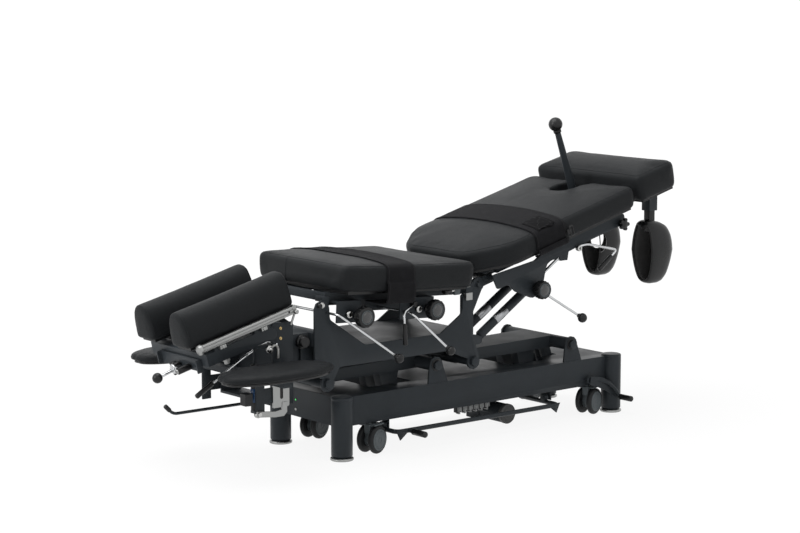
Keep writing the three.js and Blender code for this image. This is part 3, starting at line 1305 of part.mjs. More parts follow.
function ankleCup(sign) {
  const { centre, radii, wall, mouthX, hole } = cup;
  const oval = (grow) => ball(1, [0, 0, 0]).scale(radii.map((r) => r + grow)).translate(...centre);
  const shell = oval(0).subtract(oval(-wall)).subtract(block([600, mouthX], [-300, 300], [300, 800]));
  const stem = block([post.x - post.half, post.x + post.half], [-post.y - post.half, -post.y + post.half], [post.bottom, post.top]);
  const clear = stem.subtract(oval(-wall / 2));
  const solid = joined(shell, clear);
  const one = sign < 0 ? solid : mirrored(solid);
  if (sign < 0) return one;
  const opening = bar([hole.from[0], hole.from[1], 0], [hole.to[0], hole.to[1], 0], hole.radius, hole.radius, sides.large);
  return one.subtract(opening.scale([1, 1, hole.tall]).translate(0, 0, hole.from[2]));
}

// Assembly

const table = new THREE.Group();

function addBase() {
  piece(table, "base_cover", baseCover(), paint.dark);
  [["head_near", -legAt.x, -legAt.y], ["head_far", -legAt.x, legAt.y], ["foot_near", legAt.x, -legAt.y], ["foot_far", legAt.x, legAt.y]].forEach(
    ([name, x, y]) => piece(table, `leg_${name}`, legPost(x, y), paint.dark),
  );
  piece(table, "foot_bar", footBarTube(), paint.dark);
  piece(table, "control_box", controlBox(), paint.plastic);
  piece(table, "castor_carriage", castorCarriage(), paint.dark);
  castors.forEach((place) => {
    piece(table, `castor_hood_${place.name}`, castorHood(place), paint.grey);
    piece(table, `castor_wheels_${place.name}`, castorWheels(place), paint.plastic);
  });
  piece(table, "castor_pedal", castorPedal(), paint.dark);
}

function addLift() {
  piece(table, "actuator_body", actuatorBody(), paint.dark);
  piece(table, "actuator_rod", actuatorRod(), paint.chrome);
  const rear = liftArm(lift.rearX);
  piece(table, "lift_arm_foot", joined(rear, driveLever()), paint.dark);
  piece(table, "lift_arm_head", liftArm(lift.rearX - lift.pitch), paint.dark);
  piece(table, "upper_frame", upperFrame(), paint.dark);
}

function addHead() {
  piece(table, "head_tower", headTower(), paint.dark);
  piece(table, "arm_rest_carriage", armRestCarriage(), paint.dark);
  piece(table, "arm_rest_pad_near", armRestPad(), paint.leather);
  piece(table, "arm_rest_pad_far", mirrored(armRestPad()), paint.leather);
  piece(table, "arm_rest_spring", armRestSpring(), paint.aluminium);
  piece(table, "arm_rest_handle", armRestHandle(), paint.dark);
  const tilted = section(head);
  table.add(tilted);
  piece(tilted, "head_frame", headTray(), paint.dark);
  piece(tilted, "head_bolster_near", headBolster(), paint.leather);
  piece(tilted, "head_bolster_far", mirrored(headBolster()), paint.leather);
  piece(tilted, "head_rail", headRail(), paint.aluminium);
  piece(tilted, "head_crosshead", headCrosshead(), paint.aluminium);
  piece(tilted, "head_ball_lever", headBallLever(), paint.chrome);
  piece(table, "head_release_lever", headReleaseLever(), paint.dark);
}

function addMiddle() {
  const tilted = section(middle);
  table.add(tilted);
  piece(tilted, "middle_frame", middleCarriage(), paint.dark);
  piece(tilted, "thoracic_cushion", middleHalf(-1, hinge.thoracicY), paint.leather);
  piece(tilted, "lumbar_cushion", middleHalf(1, hinge.lumbarY), paint.leather);
  piece(tilted, "middle_strap", band(middleCushion, strap), paint.webbing);
  piece(table, "thoracic_lever", leverRod(thoracicLever), paint.chrome);
  piece(table, "lumbar_lever", leverRod(lumbarLever), paint.chrome);
  piece(table, "thoracic_knob", knobTurn(thoracicKnob), paint.plastic);
  piece(table, "lumbar_knob", knobTurn(lumbarKnob), paint.plastic);
  piece(table, "lumbar_release_lever", lumbarReleaseLever(), paint.chrome);
}

// Brings a solid from the upright frame into a section's tilted frame
function intoSection({ pivotX, pivotZ, slope }, solid) {
  return solid.translate(-pivotX, 0, -pivotZ).rotate([0, -slope, 0]);
}

function outOfSection({ pivotX, pivotZ, slope }, solid) {
  return solid.rotate([0, slope, 0]).translate(pivotX, 0, pivotZ);
}

function addPelvis() {
  const tilted = section(pelvis);
  table.add(tilted);
  piece(tilted, "pelvic_frame", joined(pelvicChassis(), intoSection(pelvis, pelvicFixtures())), paint.dark);
  piece(tilted, "pelvic_cushion", pelvicPad(), paint.leather);
  piece(tilted, "pelvic_strap", band(pelvicCushion, pelvicStrap), paint.webbing);
  piece(table, "pelvic_knob", pelvicKnobTurn(), paint.plastic);
  piece(table, "pelvic_lever", pelvicCockingLever(), paint.chrome);
  piece(table, "pelvic_release_lever", pelvicReleaseLever(), paint.chrome);
  piece(table, "wing_knob", wingKnob(), paint.plastic);
  piece(table, "flexion_handle", flexionHandle(), paint.dark);
  [["near", strut.y[0]], ["far", strut.y[1]]].forEach(([name, y]) => {
    piece(table, `strut_tube_${name}`, strutTube(y), paint.dark);
    piece(table, `strut_rod_${name}`, strutRod(y), paint.chrome);
  });
}

function addFoot() {
  const tilted = section(pelvis);
  table.add(tilted);
  const sleeves = [-1, 1].map((sign) => intoSection(pelvis, postSleeve(sign)));
  const rooms = [-1, 1].map((sign) => intoSection(pelvis, postRoom(sign)));
  piece(tilted, "foot_carrier", without(joined(footCarrierPlate(), sleeves), rooms), paint.dark);
  piece(tilted, "foot_cushion", footPad(), paint.leather);
  piece(table, "ankle_cup_near", ankleCup(-1), paint.dark);
  piece(table, "ankle_cup_far", ankleCup(1), paint.dark);
}

addBase();
addLift();
addHead();
addMiddle();
addPelvis();
addFoot();

const room = new THREE.Box3().setFromObject(table);
const centre = room.getCenter(new THREE.Vector3());
table.position.set(-centre.x, -centre.y, -room.min.z);

export default table;
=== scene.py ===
"""Dresses the drop-section treatment table: upholstery, powder-coated steel, bright levers, castors and the studio."""

import json
import logging
import math
from dataclasses import dataclass, field
from enum import Enum
from functools import cached_property
from typing import Callable, Optional, Sequence

import bmesh
import bpy
from bpy.types import Material, Mesh, Node, NodeSocket, NodeTree, Object
from mathutils import Matrix, Vector
from mathutils.bvhtree import BVHTree


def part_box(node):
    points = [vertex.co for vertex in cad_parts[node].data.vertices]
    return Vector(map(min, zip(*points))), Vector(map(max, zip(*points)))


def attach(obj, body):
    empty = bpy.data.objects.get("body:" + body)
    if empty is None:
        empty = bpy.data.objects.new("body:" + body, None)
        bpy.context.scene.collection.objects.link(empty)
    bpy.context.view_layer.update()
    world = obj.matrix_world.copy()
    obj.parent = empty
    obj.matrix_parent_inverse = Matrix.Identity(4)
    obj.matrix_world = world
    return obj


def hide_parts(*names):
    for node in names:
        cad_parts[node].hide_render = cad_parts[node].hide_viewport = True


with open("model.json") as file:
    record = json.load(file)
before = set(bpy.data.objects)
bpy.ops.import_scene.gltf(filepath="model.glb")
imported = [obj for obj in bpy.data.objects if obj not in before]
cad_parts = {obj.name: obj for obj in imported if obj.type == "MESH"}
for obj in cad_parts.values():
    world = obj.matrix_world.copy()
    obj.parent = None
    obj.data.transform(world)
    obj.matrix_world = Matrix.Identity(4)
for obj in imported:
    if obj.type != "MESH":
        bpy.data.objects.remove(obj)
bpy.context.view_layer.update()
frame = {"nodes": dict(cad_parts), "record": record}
log = logging.getLogger("treatment_table")

MM = 0.001
Point = Sequence[float]
Colour = tuple[float, float, float]
Outline = list[tuple[float, float]]
BODY_OF = {node: body for body, nodes in frame["record"]["behaviour"]["bodies"].items() for node in nodes}
COVER_LOW, COVER_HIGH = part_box("base_cover")
MIDDLE_X = (COVER_LOW.x + COVER_HIGH.x) / 2
SIDES = (("near", -1), ("far", 1))
ALONG, ACROSS, UP = (1, 0, 0), (0, 1, 0), (0, 0, 1)
FACING_SIDEWAYS = Matrix.Rotation(math.pi / 2, 4, "X").to_euler()


@dataclass(frozen=True)
class Seat:
    """A frame of reference in millimetres, turned about a line across the table.

    Sizes are written from the middle of the four legs, on the floor.
    """

    x: float = 0.0
    z: float = 0.0
    slope: float = 0.0

    def matrix(self) -> Matrix:
        """Returns the matrix from this frame's millimetres to the model's metres."""
        place = Matrix.Translation((MIDDLE_X + self.x * MM, 0.0, self.z * MM))
        return place @ Matrix.Rotation(math.radians(self.slope), 4, "Y") @ Matrix.Scale(MM, 4)


UPRIGHT = Seat()
HEAD_SEAT = Seat(-848.0, 425.0, -14.0)
MIDDLE_SEAT = Seat(-432.0, 529.0, 3.3)
PELVIC_SEAT = Seat(-20.0, 500.0, -15.0)
LOCAL = Seat(-MIDDLE_X / MM)


class Finish(Enum):
    """The finishes of the table."""

    FRAME_PAINT = "frame_paint"
    VINYL = "vinyl"
    WEBBING = "webbing"
    BLACK_PLASTIC = "black_plastic"
    CHROME = "chrome"
    ALUMINIUM = "aluminium"
    CASTOR_TYRE = "castor_tyre"
    CASTOR_GREY = "castor_grey"
    FELT = "felt"
    ZINC = "zinc"
    BRASS = "brass"
    BLUE_BAND = "blue_band"
    SILVER_BAND = "silver_band"
    LAMP = "lamp"
    HOSE = "hose"
    THREAD = "thread"
    PORT = "port"
    CLEAR_CAP = "clear_cap"
    MOTOR_GREY = "motor_grey"


class Wiring:
    """Adds nodes to a node tree and joins their sockets."""

    def __init__(self, tree: NodeTree) -> None:
        """Args:
            tree: The tree to build in.
        """
        self.tree = tree

    def put(self, target: NodeSocket, value: object) -> None:
        """Joins a socket to an input, or sets the input to a value.

        Args:
            target: The input to feed.
            value: A socket, or a value of the input's kind.
        """
        if isinstance(value, NodeSocket):
            self.tree.links.new(value, target)
        else:
            target.default_value = value

    def node(self, kind: str, inputs: Optional[dict] = None, **settings: object) -> Node:
        """Adds a node.

        Args:
            kind: The node's type name.
            inputs: Values or sockets for its inputs, by name or index.
            settings: The node's own properties.

        Returns:
            The new node.
        """
        made = self.tree.nodes.new(kind)
        for key, value in settings.items():
            setattr(made, key, value)
        for key, value in (inputs or {}).items():
            self.put(made.inputs[key], value)
        return made

    def math(self, operation: str, *values: object) -> NodeSocket:
        """Adds a Math node and returns its output socket."""
        return self.node("ShaderNodeMath", dict(enumerate(values)), operation=operation).outputs[0]

    def vector(self, operation: str, *values: object) -> Node:
        """Adds a Vector Math node and returns it."""
        return self.node("ShaderNodeVectorMath", dict(enumerate(values)), operation=operation)

    def noise(self, place: NodeSocket, scale: object, detail: float, roughness: float = 0.5) -> Node:
        """Adds a Noise Texture node and returns it."""
        inputs = {"Vector": place, "Scale": scale, "Detail": detail, "Roughness": roughness}
        return self.node("ShaderNodeTexNoise", inputs)

    def ramp(self, value: NodeSocket, low: float, high: float, to_low: float = 0.0, to_high: float = 1.0) -> NodeSocket:
        """Maps a span of values on to another, clamped, and returns the socket."""
        inputs = {"Value": value, "From Min": low, "From Max": high, "To Min": to_low, "To Max": to_high}
        return self.node("ShaderNodeMapRange", inputs).outputs["Result"]

    def ends(self, *results: NodeSocket) -> NodeTree:
        """Feeds the group's outputs in order, and returns the finished group.

        Args:
            results: The sockets to feed, in the outputs' order.

        Returns:
            The finished node group.
        """
        out = next(node for node in self.tree.nodes if node.bl_idname == "NodeGroupOutput")
        for target, result in zip(out.inputs, results):
            self.put(target, result)
        return self.tree


class EffectGroups:
    """Shader node groups that several finishes share, each built at its first use."""

    def _new(self, name: str, values: dict[str, float], *outputs: str) -> tuple[Wiring, Sequence[NodeSocket]]:
        """Starts a group that takes a vector and some values.

        Args:
            name: The group's name.
            values: Name and default of each value after the vector.
            outputs: Names of the outputs, all plain values.

        Returns:
            The wiring, and the sockets of the group's inputs.
        """
        tree = bpy.data.node_groups.new(name, "ShaderNodeTree")
        tree.interface.new_socket("Vector", in_out="INPUT", socket_type="NodeSocketVector")
        for label, default in values.items():
            tree.interface.new_socket(label, in_out="INPUT", socket_type="NodeSocketFloat").default_value = default
        for label in outputs:
            tree.interface.new_socket(label, in_out="OUTPUT", socket_type="NodeSocketFloat")
        w = Wiring(tree)
        w.node("NodeGroupOutput")
        return w, w.node("NodeGroupInput").outputs

    @cached_property
    def fine_texture(self) -> NodeTree:
        """The small pits of a powder coat or moulding, with slow mottling.

        Returns:
            The finished node group.
        """
        w, given = self._new("fine texture", {"Scale": 900.0, "Mottle Scale": 14.0}, "Height", "Mottle")
        pits = w.noise(given[0], given[1], 3.0, 0.6)
        slow = w.noise(given[0], given[2], 4.0, 0.55)
        return w.ends(pits.outputs[0], slow.outputs[0])

    @cached_property
    def edge_wear_and_highlight(self) -> NodeTree:
        """A mask of edges, from the turn of the surface within a radius and broken up by noise, for rubbed wear
        together with a painted highlight on the edges.

        Returns:
            The finished node group.
        """
        w, given = self._new("edge rub", {"Radius": 0.0015, "Spread": 60.0}, "Mask")
        bevel = w.node("ShaderNodeBevel", {"Radius": given[1]}, samples=4)
        true = w.node("ShaderNodeNewGeometry")
        turn = w.vector("DOT_PRODUCT", bevel.outputs[0], true.outputs["Normal"])
        bend = w.ramp(turn.outputs["Value"], 0.985, 0.8)
        blotch = w.noise(given[0], given[2], 5.0)
        return w.ends(w.math("MULTIPLY", bend, w.ramp(blotch.outputs[0], 0.42, 0.68)))

    @cached_property
    def settled_dust(self) -> NodeTree:
        """A mask of dust on what faces up.

        Returns:
            The finished node group.
        """
        w, given = self._new("settled dust", {"Scale": 9.0}, "Mask")
        facing = w.node("ShaderNodeSeparateXYZ", {0: w.node("ShaderNodeNewGeometry").outputs["Normal"]})
        up = w.ramp(facing.outputs[2], 0.35, 1.0)
        cloud = w.noise(given[0], given[1], 8.0, 0.65)
        return w.ends(w.math("MULTIPLY", up, w.ramp(cloud.outputs[0], 0.35, 0.75)))

    @cached_property
    def hide_grain(self) -> NodeTree:
        """The pebbled grain of upholstery vinyl, with a mask of its fine creases, which the vinyl darkens as painted
        shade.

        Returns:
            The finished node group.
        """
        w, given = self._new("hide grain", {"Scale": 620.0}, "Height", "Crease")
        wobble = w.noise(given[0], 180.0, 2.0)
        shifted = w.vector("MULTIPLY", wobble.outputs["Color"], (0.0022, 0.0022, 0.0022))
        inputs = {"Vector": w.vector("ADD", given[0], shifted.outputs[0]).outputs[0], "Scale": given[1]}
        cells = w.node("ShaderNodeTexVoronoi", inputs, feature="DISTANCE_TO_EDGE")
        rounds = w.node("ShaderNodeTexVoronoi", inputs, feature="SMOOTH_F1")
        crease = w.ramp(cells.outputs["Distance"], 0.0, 0.12, 1.0, 0.0)
        dome = w.math("SUBTRACT", 1.0, rounds.outputs["Distance"])
        return w.ends(w.math("SUBTRACT", dome, w.math("MULTIPLY", crease, 0.6)), crease)

    @cached_property
    def webbing_weave(self) -> NodeTree:
        """The crossed threads of a woven strap, on its own flat coordinates in metres.

        Returns:
            The finished node group.
        """
        w, given = self._new("webbing weave", {"Pitch": 0.0022}, "Height", "Thread")
        parts = w.node("ShaderNodeSeparateXYZ", {0: given[0]})
        across, along = (w.math("DIVIDE", parts.outputs[i], given[1]) for i in (0, 1))
        turn = [w.math("ABSOLUTE", w.math("SINE", w.math("MULTIPLY", value, math.pi))) for value in (across, along)]
        odd = w.math("PINGPONG", w.math("ADD", w.math("FLOOR", across), w.math("FLOOR", along)), 1.0)
        under = w.math("MULTIPLY", turn[1], w.math("SUBTRACT", 1.0, odd))
        return w.ends(w.math("ADD", w.math("MULTIPLY", turn[0], odd), under), odd)

    @cached_property
    def brush_marks(self) -> NodeTree:
        """Long fine lines, as drawing or turning leaves in metal.

        Returns:
            The finished node group.
        """
        w, given = self._new("brush marks", {"Scale": 1800.0}, "Height")
        drawn = w.vector("MULTIPLY", given[0], (0.02, 1.0, 1.0))
        return w.ends(w.noise(drawn.outputs[0], given[1], 3.0).outputs[0])


EFFECTS = EffectGroups()


def shade(colour: Point, factor: float) -> tuple[float, ...]:
    """Returns a colour made lighter or darker by a factor."""
    return tuple(min(1.0, channel * factor) for channel in colour)


class Coating:
    """A material under construction: a Principled shader and the effects that feed it."""

    def __init__(self, name: str, coordinates: str = "Object") -> None:
        """Args:
            name: The material's name.
            coordinates: The output of Texture Coordinate that its patterns read.
        """
        self.material = bpy.data.materials.new(name)
        self.material.use_nodes = True
        self.material.node_tree.nodes.clear()
        self.w = Wiring(self.material.node_tree)
        self.shader = self.w.node("ShaderNodeBsdfPrincipled")
        self.surface = self.w.node("ShaderNodeOutputMaterial", {0: self.shader.outputs[0]}).inputs[0]
        self.place = self.w.node("ShaderNodeTexCoord").outputs[coordinates]

    def effect(self, tree: NodeTree, **inputs: float) -> Sequence[NodeSocket]:
        """Adds a shared effect, fed with the material's coordinates, and returns its outputs.

        Args:
            tree: The effect's node group.
            inputs: Values of the group's inputs, by name.

        Returns:
            The group's output sockets.
        """
        made = self.w.node("ShaderNodeGroup", node_tree=tree)
        self.w.put(made.inputs["Vector"], self.place)
        for name, value in inputs.items():
            made.inputs[name.replace("_", " ")].default_value = value
        return made.outputs

    def blend(self, first: object, second: object, share: NodeSocket, amount: float = 1.0) -> NodeSocket:
        """Mixes two colours.

        Args:
            first: A colour, or a socket that gives one.
            second: The other colour or socket.
            share: How much of the second there is.
            amount: A factor on the share.

        Returns:
            The mixed colour's socket.
        """
        if amount != 1.0:
            share = self.w.math("MULTIPLY", share, amount)
        made = self.w.node("ShaderNodeMix", data_type="RGBA")
        for socket, value in ((made.inputs[6], first), (made.inputs[7], second)):
            self.w.put(socket, value if isinstance(value, NodeSocket) else (*value, 1.0))
        self.w.put(made.inputs[0], share)
        return made.outputs[2]

    def tones(self, colour: Point, dark: float, light: float, share: NodeSocket) -> NodeSocket:
        """Mixes a darker and a lighter tone of a colour, and returns the socket."""
        return self.blend(shade(colour, dark), shade(colour, light), share)

    def feed(self, **inputs: object) -> None:
        """Joins sockets to the shader's inputs, or sets them to values."""
        for name, value in inputs.items():
            self.w.put(self.shader.inputs[name.replace("_", " ")], value)

    def relief(self, height: NodeSocket, depth: float) -> None:
        """Feeds a height to the shader's normal through a Bump node."""
        bump = self.w.node("ShaderNodeBump", {"Height": height, "Distance": depth, "Strength": 1.0})
        self.feed(Normal=bump.outputs[0])


@dataclass(frozen=True)
class Recipe:
    """How a material is made."""

    name: str
    colour: Colour

    def build(self) -> Material:
        """Returns the material."""
        raise NotImplementedError


@dataclass(frozen=True)
class PaintedSteel(Recipe):
    """Fine-textured powder coat on steel, lighter at its edges: partly rubbed wear, partly painted highlight."""

    roughness: float = 0.4
    grain: float = 0.00006
    specular: float = 0.16
    dust_tone: Colour = (0.11, 0.11, 0.105)

    def build(self) -> Material:
        """Returns the material.

        Returns:
            The material.
        """
        coat = Coating(self.name)
        texture = coat.effect(EFFECTS.fine_texture, Scale=1100.0, Mottle_Scale=11.0)
        wear_and_highlight = coat.effect(EFFECTS.edge_wear_and_highlight, Radius=0.0012, Spread=70.0)
        dust = coat.effect(EFFECTS.settled_dust, Scale=8.0)
        tone = coat.tones(self.colour, 0.82, 1.2, texture["Mottle"])
        # lighter edges: rubbed wear together with a painted edge highlight
        worn_and_highlit = coat.blend(tone, shade(self.colour, 2.6), wear_and_highlight["Mask"], 0.55)
        rough = coat.w.ramp(texture["Mottle"], 0.3, 0.7, self.roughness - 0.06, self.roughness + 0.08)
        coat.feed(Base_Color=coat.blend(worn_and_highlit, self.dust_tone, dust["Mask"], 0.06), Roughness=rough)
        coat.feed(Specular_IOR_Level=self.specular)
        coat.relief(texture["Height"], self.grain)
        return coat.material


@dataclass(frozen=True)
class UpholsteryVinyl(Recipe):
    """Matte charcoal vinyl with a pebbled grain."""

    roughness: float = 0.46
    grain: float = 0.0002
    specular: float = 0.09
    dust_tone: Colour = (0.09, 0.09, 0.09)

    def build(self) -> Material:
        """Returns the material.

        Returns:
            The material.
        """
        coat = Coating(self.name)
        hide = coat.effect(EFFECTS.hide_grain, Scale=560.0)
        texture = coat.effect(EFFECTS.fine_texture, Scale=1500.0, Mottle_Scale=5.0)
        dust = coat.effect(EFFECTS.settled_dust, Scale=5.0)
        tone = coat.tones(self.colour, 0.86, 1.16, texture["Mottle"])
        # painted shade: the colour is darkened in the grain's creases
        crease_shaded = coat.blend(tone, shade(self.colour, 0.5), hide["Crease"], 0.6)
        rough = coat.w.ramp(texture["Mottle"], 0.3, 0.7, self.roughness - 0.05, self.roughness + 0.07)
        coat.feed(Base_Color=coat.blend(crease_shaded, self.dust_tone, dust["Mask"], 0.05), Roughness=rough)
        coat.feed(Specular_IOR_Level=self.specular)
        coat.relief(coat.w.math("ADD", hide["Height"], coat.w.math("MULTIPLY", texture["Height"], 0.25)), self.grain)
        return coat.material


@dataclass(frozen=True)
class WovenWebbing(Recipe):
    """Black woven strap, its threads along and across the strap."""

    relief: float = 0.0004
    specular: float = 0.08
    sheen: float = 0.02

    def build(self) -> Material:
        """Returns the material.

        Returns:
            The material.
        """
        coat = Coating(self.name, "UV")
        weave = coat.effect(EFFECTS.webbing_weave, Pitch=0.0024)
        lint = coat.w.noise(coat.place, 35.0, 6.0)
        # painted light and shade on the weave: each thread is lighter on its crest and darker where it dips under
        threads = coat.tones(self.colour, 0.7, 1.7, weave["Height"])
        fuzz = coat.w.ramp(lint.outputs[0], 0.45, 0.9, 0.0, 0.5)
        coat.feed(Base_Color=coat.blend(threads, shade(self.colour, 2.4), fuzz))
        coat.feed(Roughness=coat.w.ramp(weave["Height"], 0.0, 1.0, 0.95, 0.75))
        coat.feed(Specular_IOR_Level=self.specular, Sheen_Weight=self.sheen, Sheen_Roughness=0.5)
        coat.relief(weave["Height"], self.relief)
        return coat.material


@dataclass(frozen=True)
class MouldedPlastic(Recipe):
    """Moulded plastic or rubber with a fine spark texture, and lighter edges that are partly handling marks and partly
    painted highlight.
    """

    roughness: float = 0.38
    grain: float = 0.00003
    coat_weight: float = 0.0
    specular: float = 0.4

    def build(self) -> Material:
        """Returns the material.

        Returns:
            The material.
        """
        coat = Coating(self.name)
        texture = coat.effect(EFFECTS.fine_texture, Scale=1400.0, Mottle_Scale=26.0)
        wear_and_highlight = coat.effect(EFFECTS.edge_wear_and_highlight, Radius=0.0015, Spread=90.0)
        tone = coat.tones(self.colour, 0.85, 1.2, texture["Mottle"])
        rough = coat.w.ramp(texture["Mottle"], 0.3, 0.7, self.roughness - 0.08, self.roughness + 0.1)
        # lighter edges: handling marks together with a painted edge highlight
        coat.feed(Base_Color=coat.blend(tone, shade(self.colour, 2.2), wear_and_highlight["Mask"], 0.4), Roughness=rough)
        coat.feed(Coat_Weight=self.coat_weight, Coat_Roughness=0.06, Specular_IOR_Level=self.specular)
        coat.relief(texture["Height"], self.grain)
        return coat.material


@dataclass(frozen=True)
class BrightMetal(Recipe):
    """Bare or plated metal with drawn lines and smears."""

    roughness: float = 0.1
    lines: float = 0.00001

    def build(self) -> Material:
        """Returns the material.

        Returns:
            The material.
        """
        coat = Coating(self.name)
        marks = coat.effect(EFFECTS.brush_marks, Scale=1900.0)
        smear = coat.effect(EFFECTS.fine_texture, Scale=600.0, Mottle_Scale=20.0)
        rough = coat.w.ramp(smear["Mottle"], 0.3, 0.75, self.roughness * 0.75, self.roughness * 1.5)
        coat.feed(Base_Color=coat.tones(self.colour, 0.86, 1.06, smear["Mottle"]), Metallic=1.0, Roughness=rough)
        coat.relief(marks["Height"], self.lines)
        return coat.material


@dataclass(frozen=True)
class FeltLining(Recipe):
    """Soft lining with short fibres."""

    def build(self) -> Material:
        """Returns the material.

        Returns:
            The material.
        """
        coat = Coating(self.name)
        fibre = coat.effect(EFFECTS.fine_texture, Scale=2600.0, Mottle_Scale=120.0)
        rough = coat.w.ramp(fibre["Mottle"], 0.2, 0.8, 0.85, 1.0)
        coat.feed(Base_Color=coat.tones(self.colour, 0.6, 1.5, fibre["Height"]), Roughness=rough, Sheen_Weight=0.5)
        coat.relief(fibre["Height"], 0.0005)
        return coat.material


@dataclass(frozen=True)
class StatusLamp(Recipe):
    """A small lit lamp behind clear plastic."""

    bright: Colour = (0.15, 0.7, 0.2)
    glow: Colour = (0.1, 0.8, 0.2)
    strength: float = 0.6

    def build(self) -> Material:
        """Returns the material.

        Returns:
            The material.
        """
        coat = Coating(self.name)
        cloud = coat.effect(EFFECTS.fine_texture, Scale=900.0, Mottle_Scale=200.0)
        coat.feed(Base_Color=coat.blend(self.colour, self.bright, cloud["Mottle"]))
        coat.feed(Roughness=coat.w.ramp(cloud["Height"], 0.3, 0.7, 0.2, 0.3))
        coat.feed(Emission_Color=(*self.glow, 1.0), Emission_Strength=self.strength)
        return coat.material


RECIPES: dict[Finish, Recipe] = {
    Finish.FRAME_PAINT: PaintedSteel("dark powder coat", (0.0300, 0.0355, 0.0405)),
    Finish.VINYL: UpholsteryVinyl("charcoal upholstery vinyl", (0.0175, 0.0190, 0.0205)),
    Finish.WEBBING: WovenWebbing("black woven webbing", (0.0085, 0.0085, 0.0095)),
    Finish.BLACK_PLASTIC: MouldedPlastic("black moulding", (0.0095, 0.0098, 0.0105), 0.32, 0.000008, 0.0, 0.3),
    Finish.CHROME: BrightMetal("chrome plate", (0.56, 0.57, 0.58), 0.14, 0.000002),
    Finish.ALUMINIUM: BrightMetal("drawn aluminium", (0.32, 0.325, 0.32), 0.36),
    Finish.CASTOR_TYRE: MouldedPlastic("castor rubber", (0.012, 0.013, 0.014), 0.55, 0.00006, 0.0, 0.25),
    Finish.CASTOR_GREY: MouldedPlastic("grey castor plastic", (0.098, 0.114, 0.122), 0.42, 0.00003, 0.0, 0.3),
    Finish.CLEAR_CAP: MouldedPlastic("clear cap over black", (0.016, 0.017, 0.018), 0.2, 0.00001, 0.8),
    Finish.MOTOR_GREY: MouldedPlastic("motor housing grey", (0.07, 0.071, 0.07), 0.5, 0.00004, 0.0, 0.3),
    Finish.FELT: FeltLining("dark felt lining", (0.035, 0.034, 0.034)),
    Finish.ZINC: BrightMetal("zinc-plated steel", (0.5, 0.5, 0.49), 0.28),
    Finish.BRASS: BrightMetal("brass", (0.62, 0.45, 0.2), 0.25),
    Finish.BLUE_BAND: MouldedPlastic("blue band", (0.008, 0.05, 0.14), 0.35),
    Finish.SILVER_BAND: BrightMetal("silver band", (0.36, 0.37, 0.38), 0.34),
    Finish.LAMP: StatusLamp("green status lamp", (0.05, 0.35, 0.08)),
    Finish.HOSE: MouldedPlastic("white hose", (0.62, 0.62, 0.60), 0.4),
    Finish.THREAD: MouldedPlastic("black thread", (0.02, 0.02, 0.022), 0.7),
    Finish.PORT: MouldedPlastic("light port plastic", (0.42, 0.43, 0.43), 0.5),
}
SLOTS = {
    **dict.fromkeys((Finish.ZINC, Finish.BRASS, Finish.SILVER_BAND), "aluminium"),
    **dict.fromkeys((Finish.FELT, Finish.LAMP, Finish.HOSE, Finish.PORT, Finish.CLEAR_CAP), "black_plastic"),
    **dict.fromkeys((Finish.BLUE_BAND, Finish.MOTOR_GREY), "frame_paint"),
    Finish.THREAD: "vinyl",
}
MATERIALS: dict[Finish, Material] = {}


def material_of(finish: Finish) -> Material:
    """Returns a finish's material, built at its first use.

    Args:
        finish: The finish.

    Returns:
        The material.
    """
    if finish not in MATERIALS:
        MATERIALS[finish] = RECIPES[finish].build()
    return MATERIALS[finish]


def slot_of(finish: Finish) -> str:
    """Returns the record's material slot for a finish."""
    return SLOTS.get(finish, finish.value)


def signed_power(value: float, power: float) -> float:
    """Raises a number's size to a power and keeps its sign."""
    return math.copysign(abs(value) ** power, value)


def circle(centre: Vector, side: Vector, other: Vector, radius: float, count: int) -> list[Vector]:
    """Returns the points of a circle, from its middle and two directions in its plane."""
    turns = (2 * math.pi * k / count for k in range(count))
    return [centre + (side * math.cos(t) + other * math.sin(t)) * radius for t in turns]


def arc_corners(points: Sequence[Point], radii: Sequence[float], step: float = 7.0) -> Outline:
    """Rounds the corners of a polygon.

    Args:
        points: Its corners, counter-clockwise.
        radii: One radius for each corner.
        step: Angle between points on an arc, in degrees.

    Returns:
        The rounded outline.
    """
    rounded: Outline = []
    for i, point in enumerate(points):
        corner = Vector(point[:2])
        before = Vector(points[i - 1][:2]) - corner
        after = Vector(points[(i + 1) % len(points)][:2]) - corner
        half = before.angle(after) / 2
        if radii[i] <= 0 or abs(half - math.pi / 2) < 1e-4:
            rounded.append(tuple(corner))
            continue
        reach = min(radii[i] / math.tan(half), before.length / 2, after.length / 2)
        radius = reach * math.tan(half)
        centre = corner + (before.normalized() + after.normalized()).normalized() * (radius / math.sin(half))
        start = corner + before.normalized() * reach - centre
        end = corner + after.normalized() * reach - centre
        sweep = math.atan2(start.x * end.y - start.y * end.x, start.dot(end))
        count = max(2, math.ceil(abs(math.degrees(sweep)) / step - 0.01))
        for k in range(count + 1):
            rounded.append(tuple(centre + Matrix.Rotation(sweep * k / count, 2) @ start))
    return rounded


def inset(points: Sequence[Point], distance: float) -> Outline:
    """Moves every side of a convex polygon inwards by a distance, and returns the smaller polygon.

    Args:
        points: The polygon, in order.
        distance: How far each side moves.

    Returns:
        The smaller polygon.
    """
    lines = []
    for i, point in enumerate(points):
        start = Vector(point[:2])
        along = (Vector(points[(i + 1) % len(points)][:2]) - start).normalized()
        lines.append((start + Vector((-along.y, along.x)) * distance, along))
    moved: Outline = []
    for i, (start, along) in enumerate(lines):
        other, way = lines[i - 1]
        gap = start - other
        share = (gap.x * along.y - gap.y * along.x) / (way.x * along.y - way.y * along.x)
        moved.append(tuple(other + way * share))
    return moved


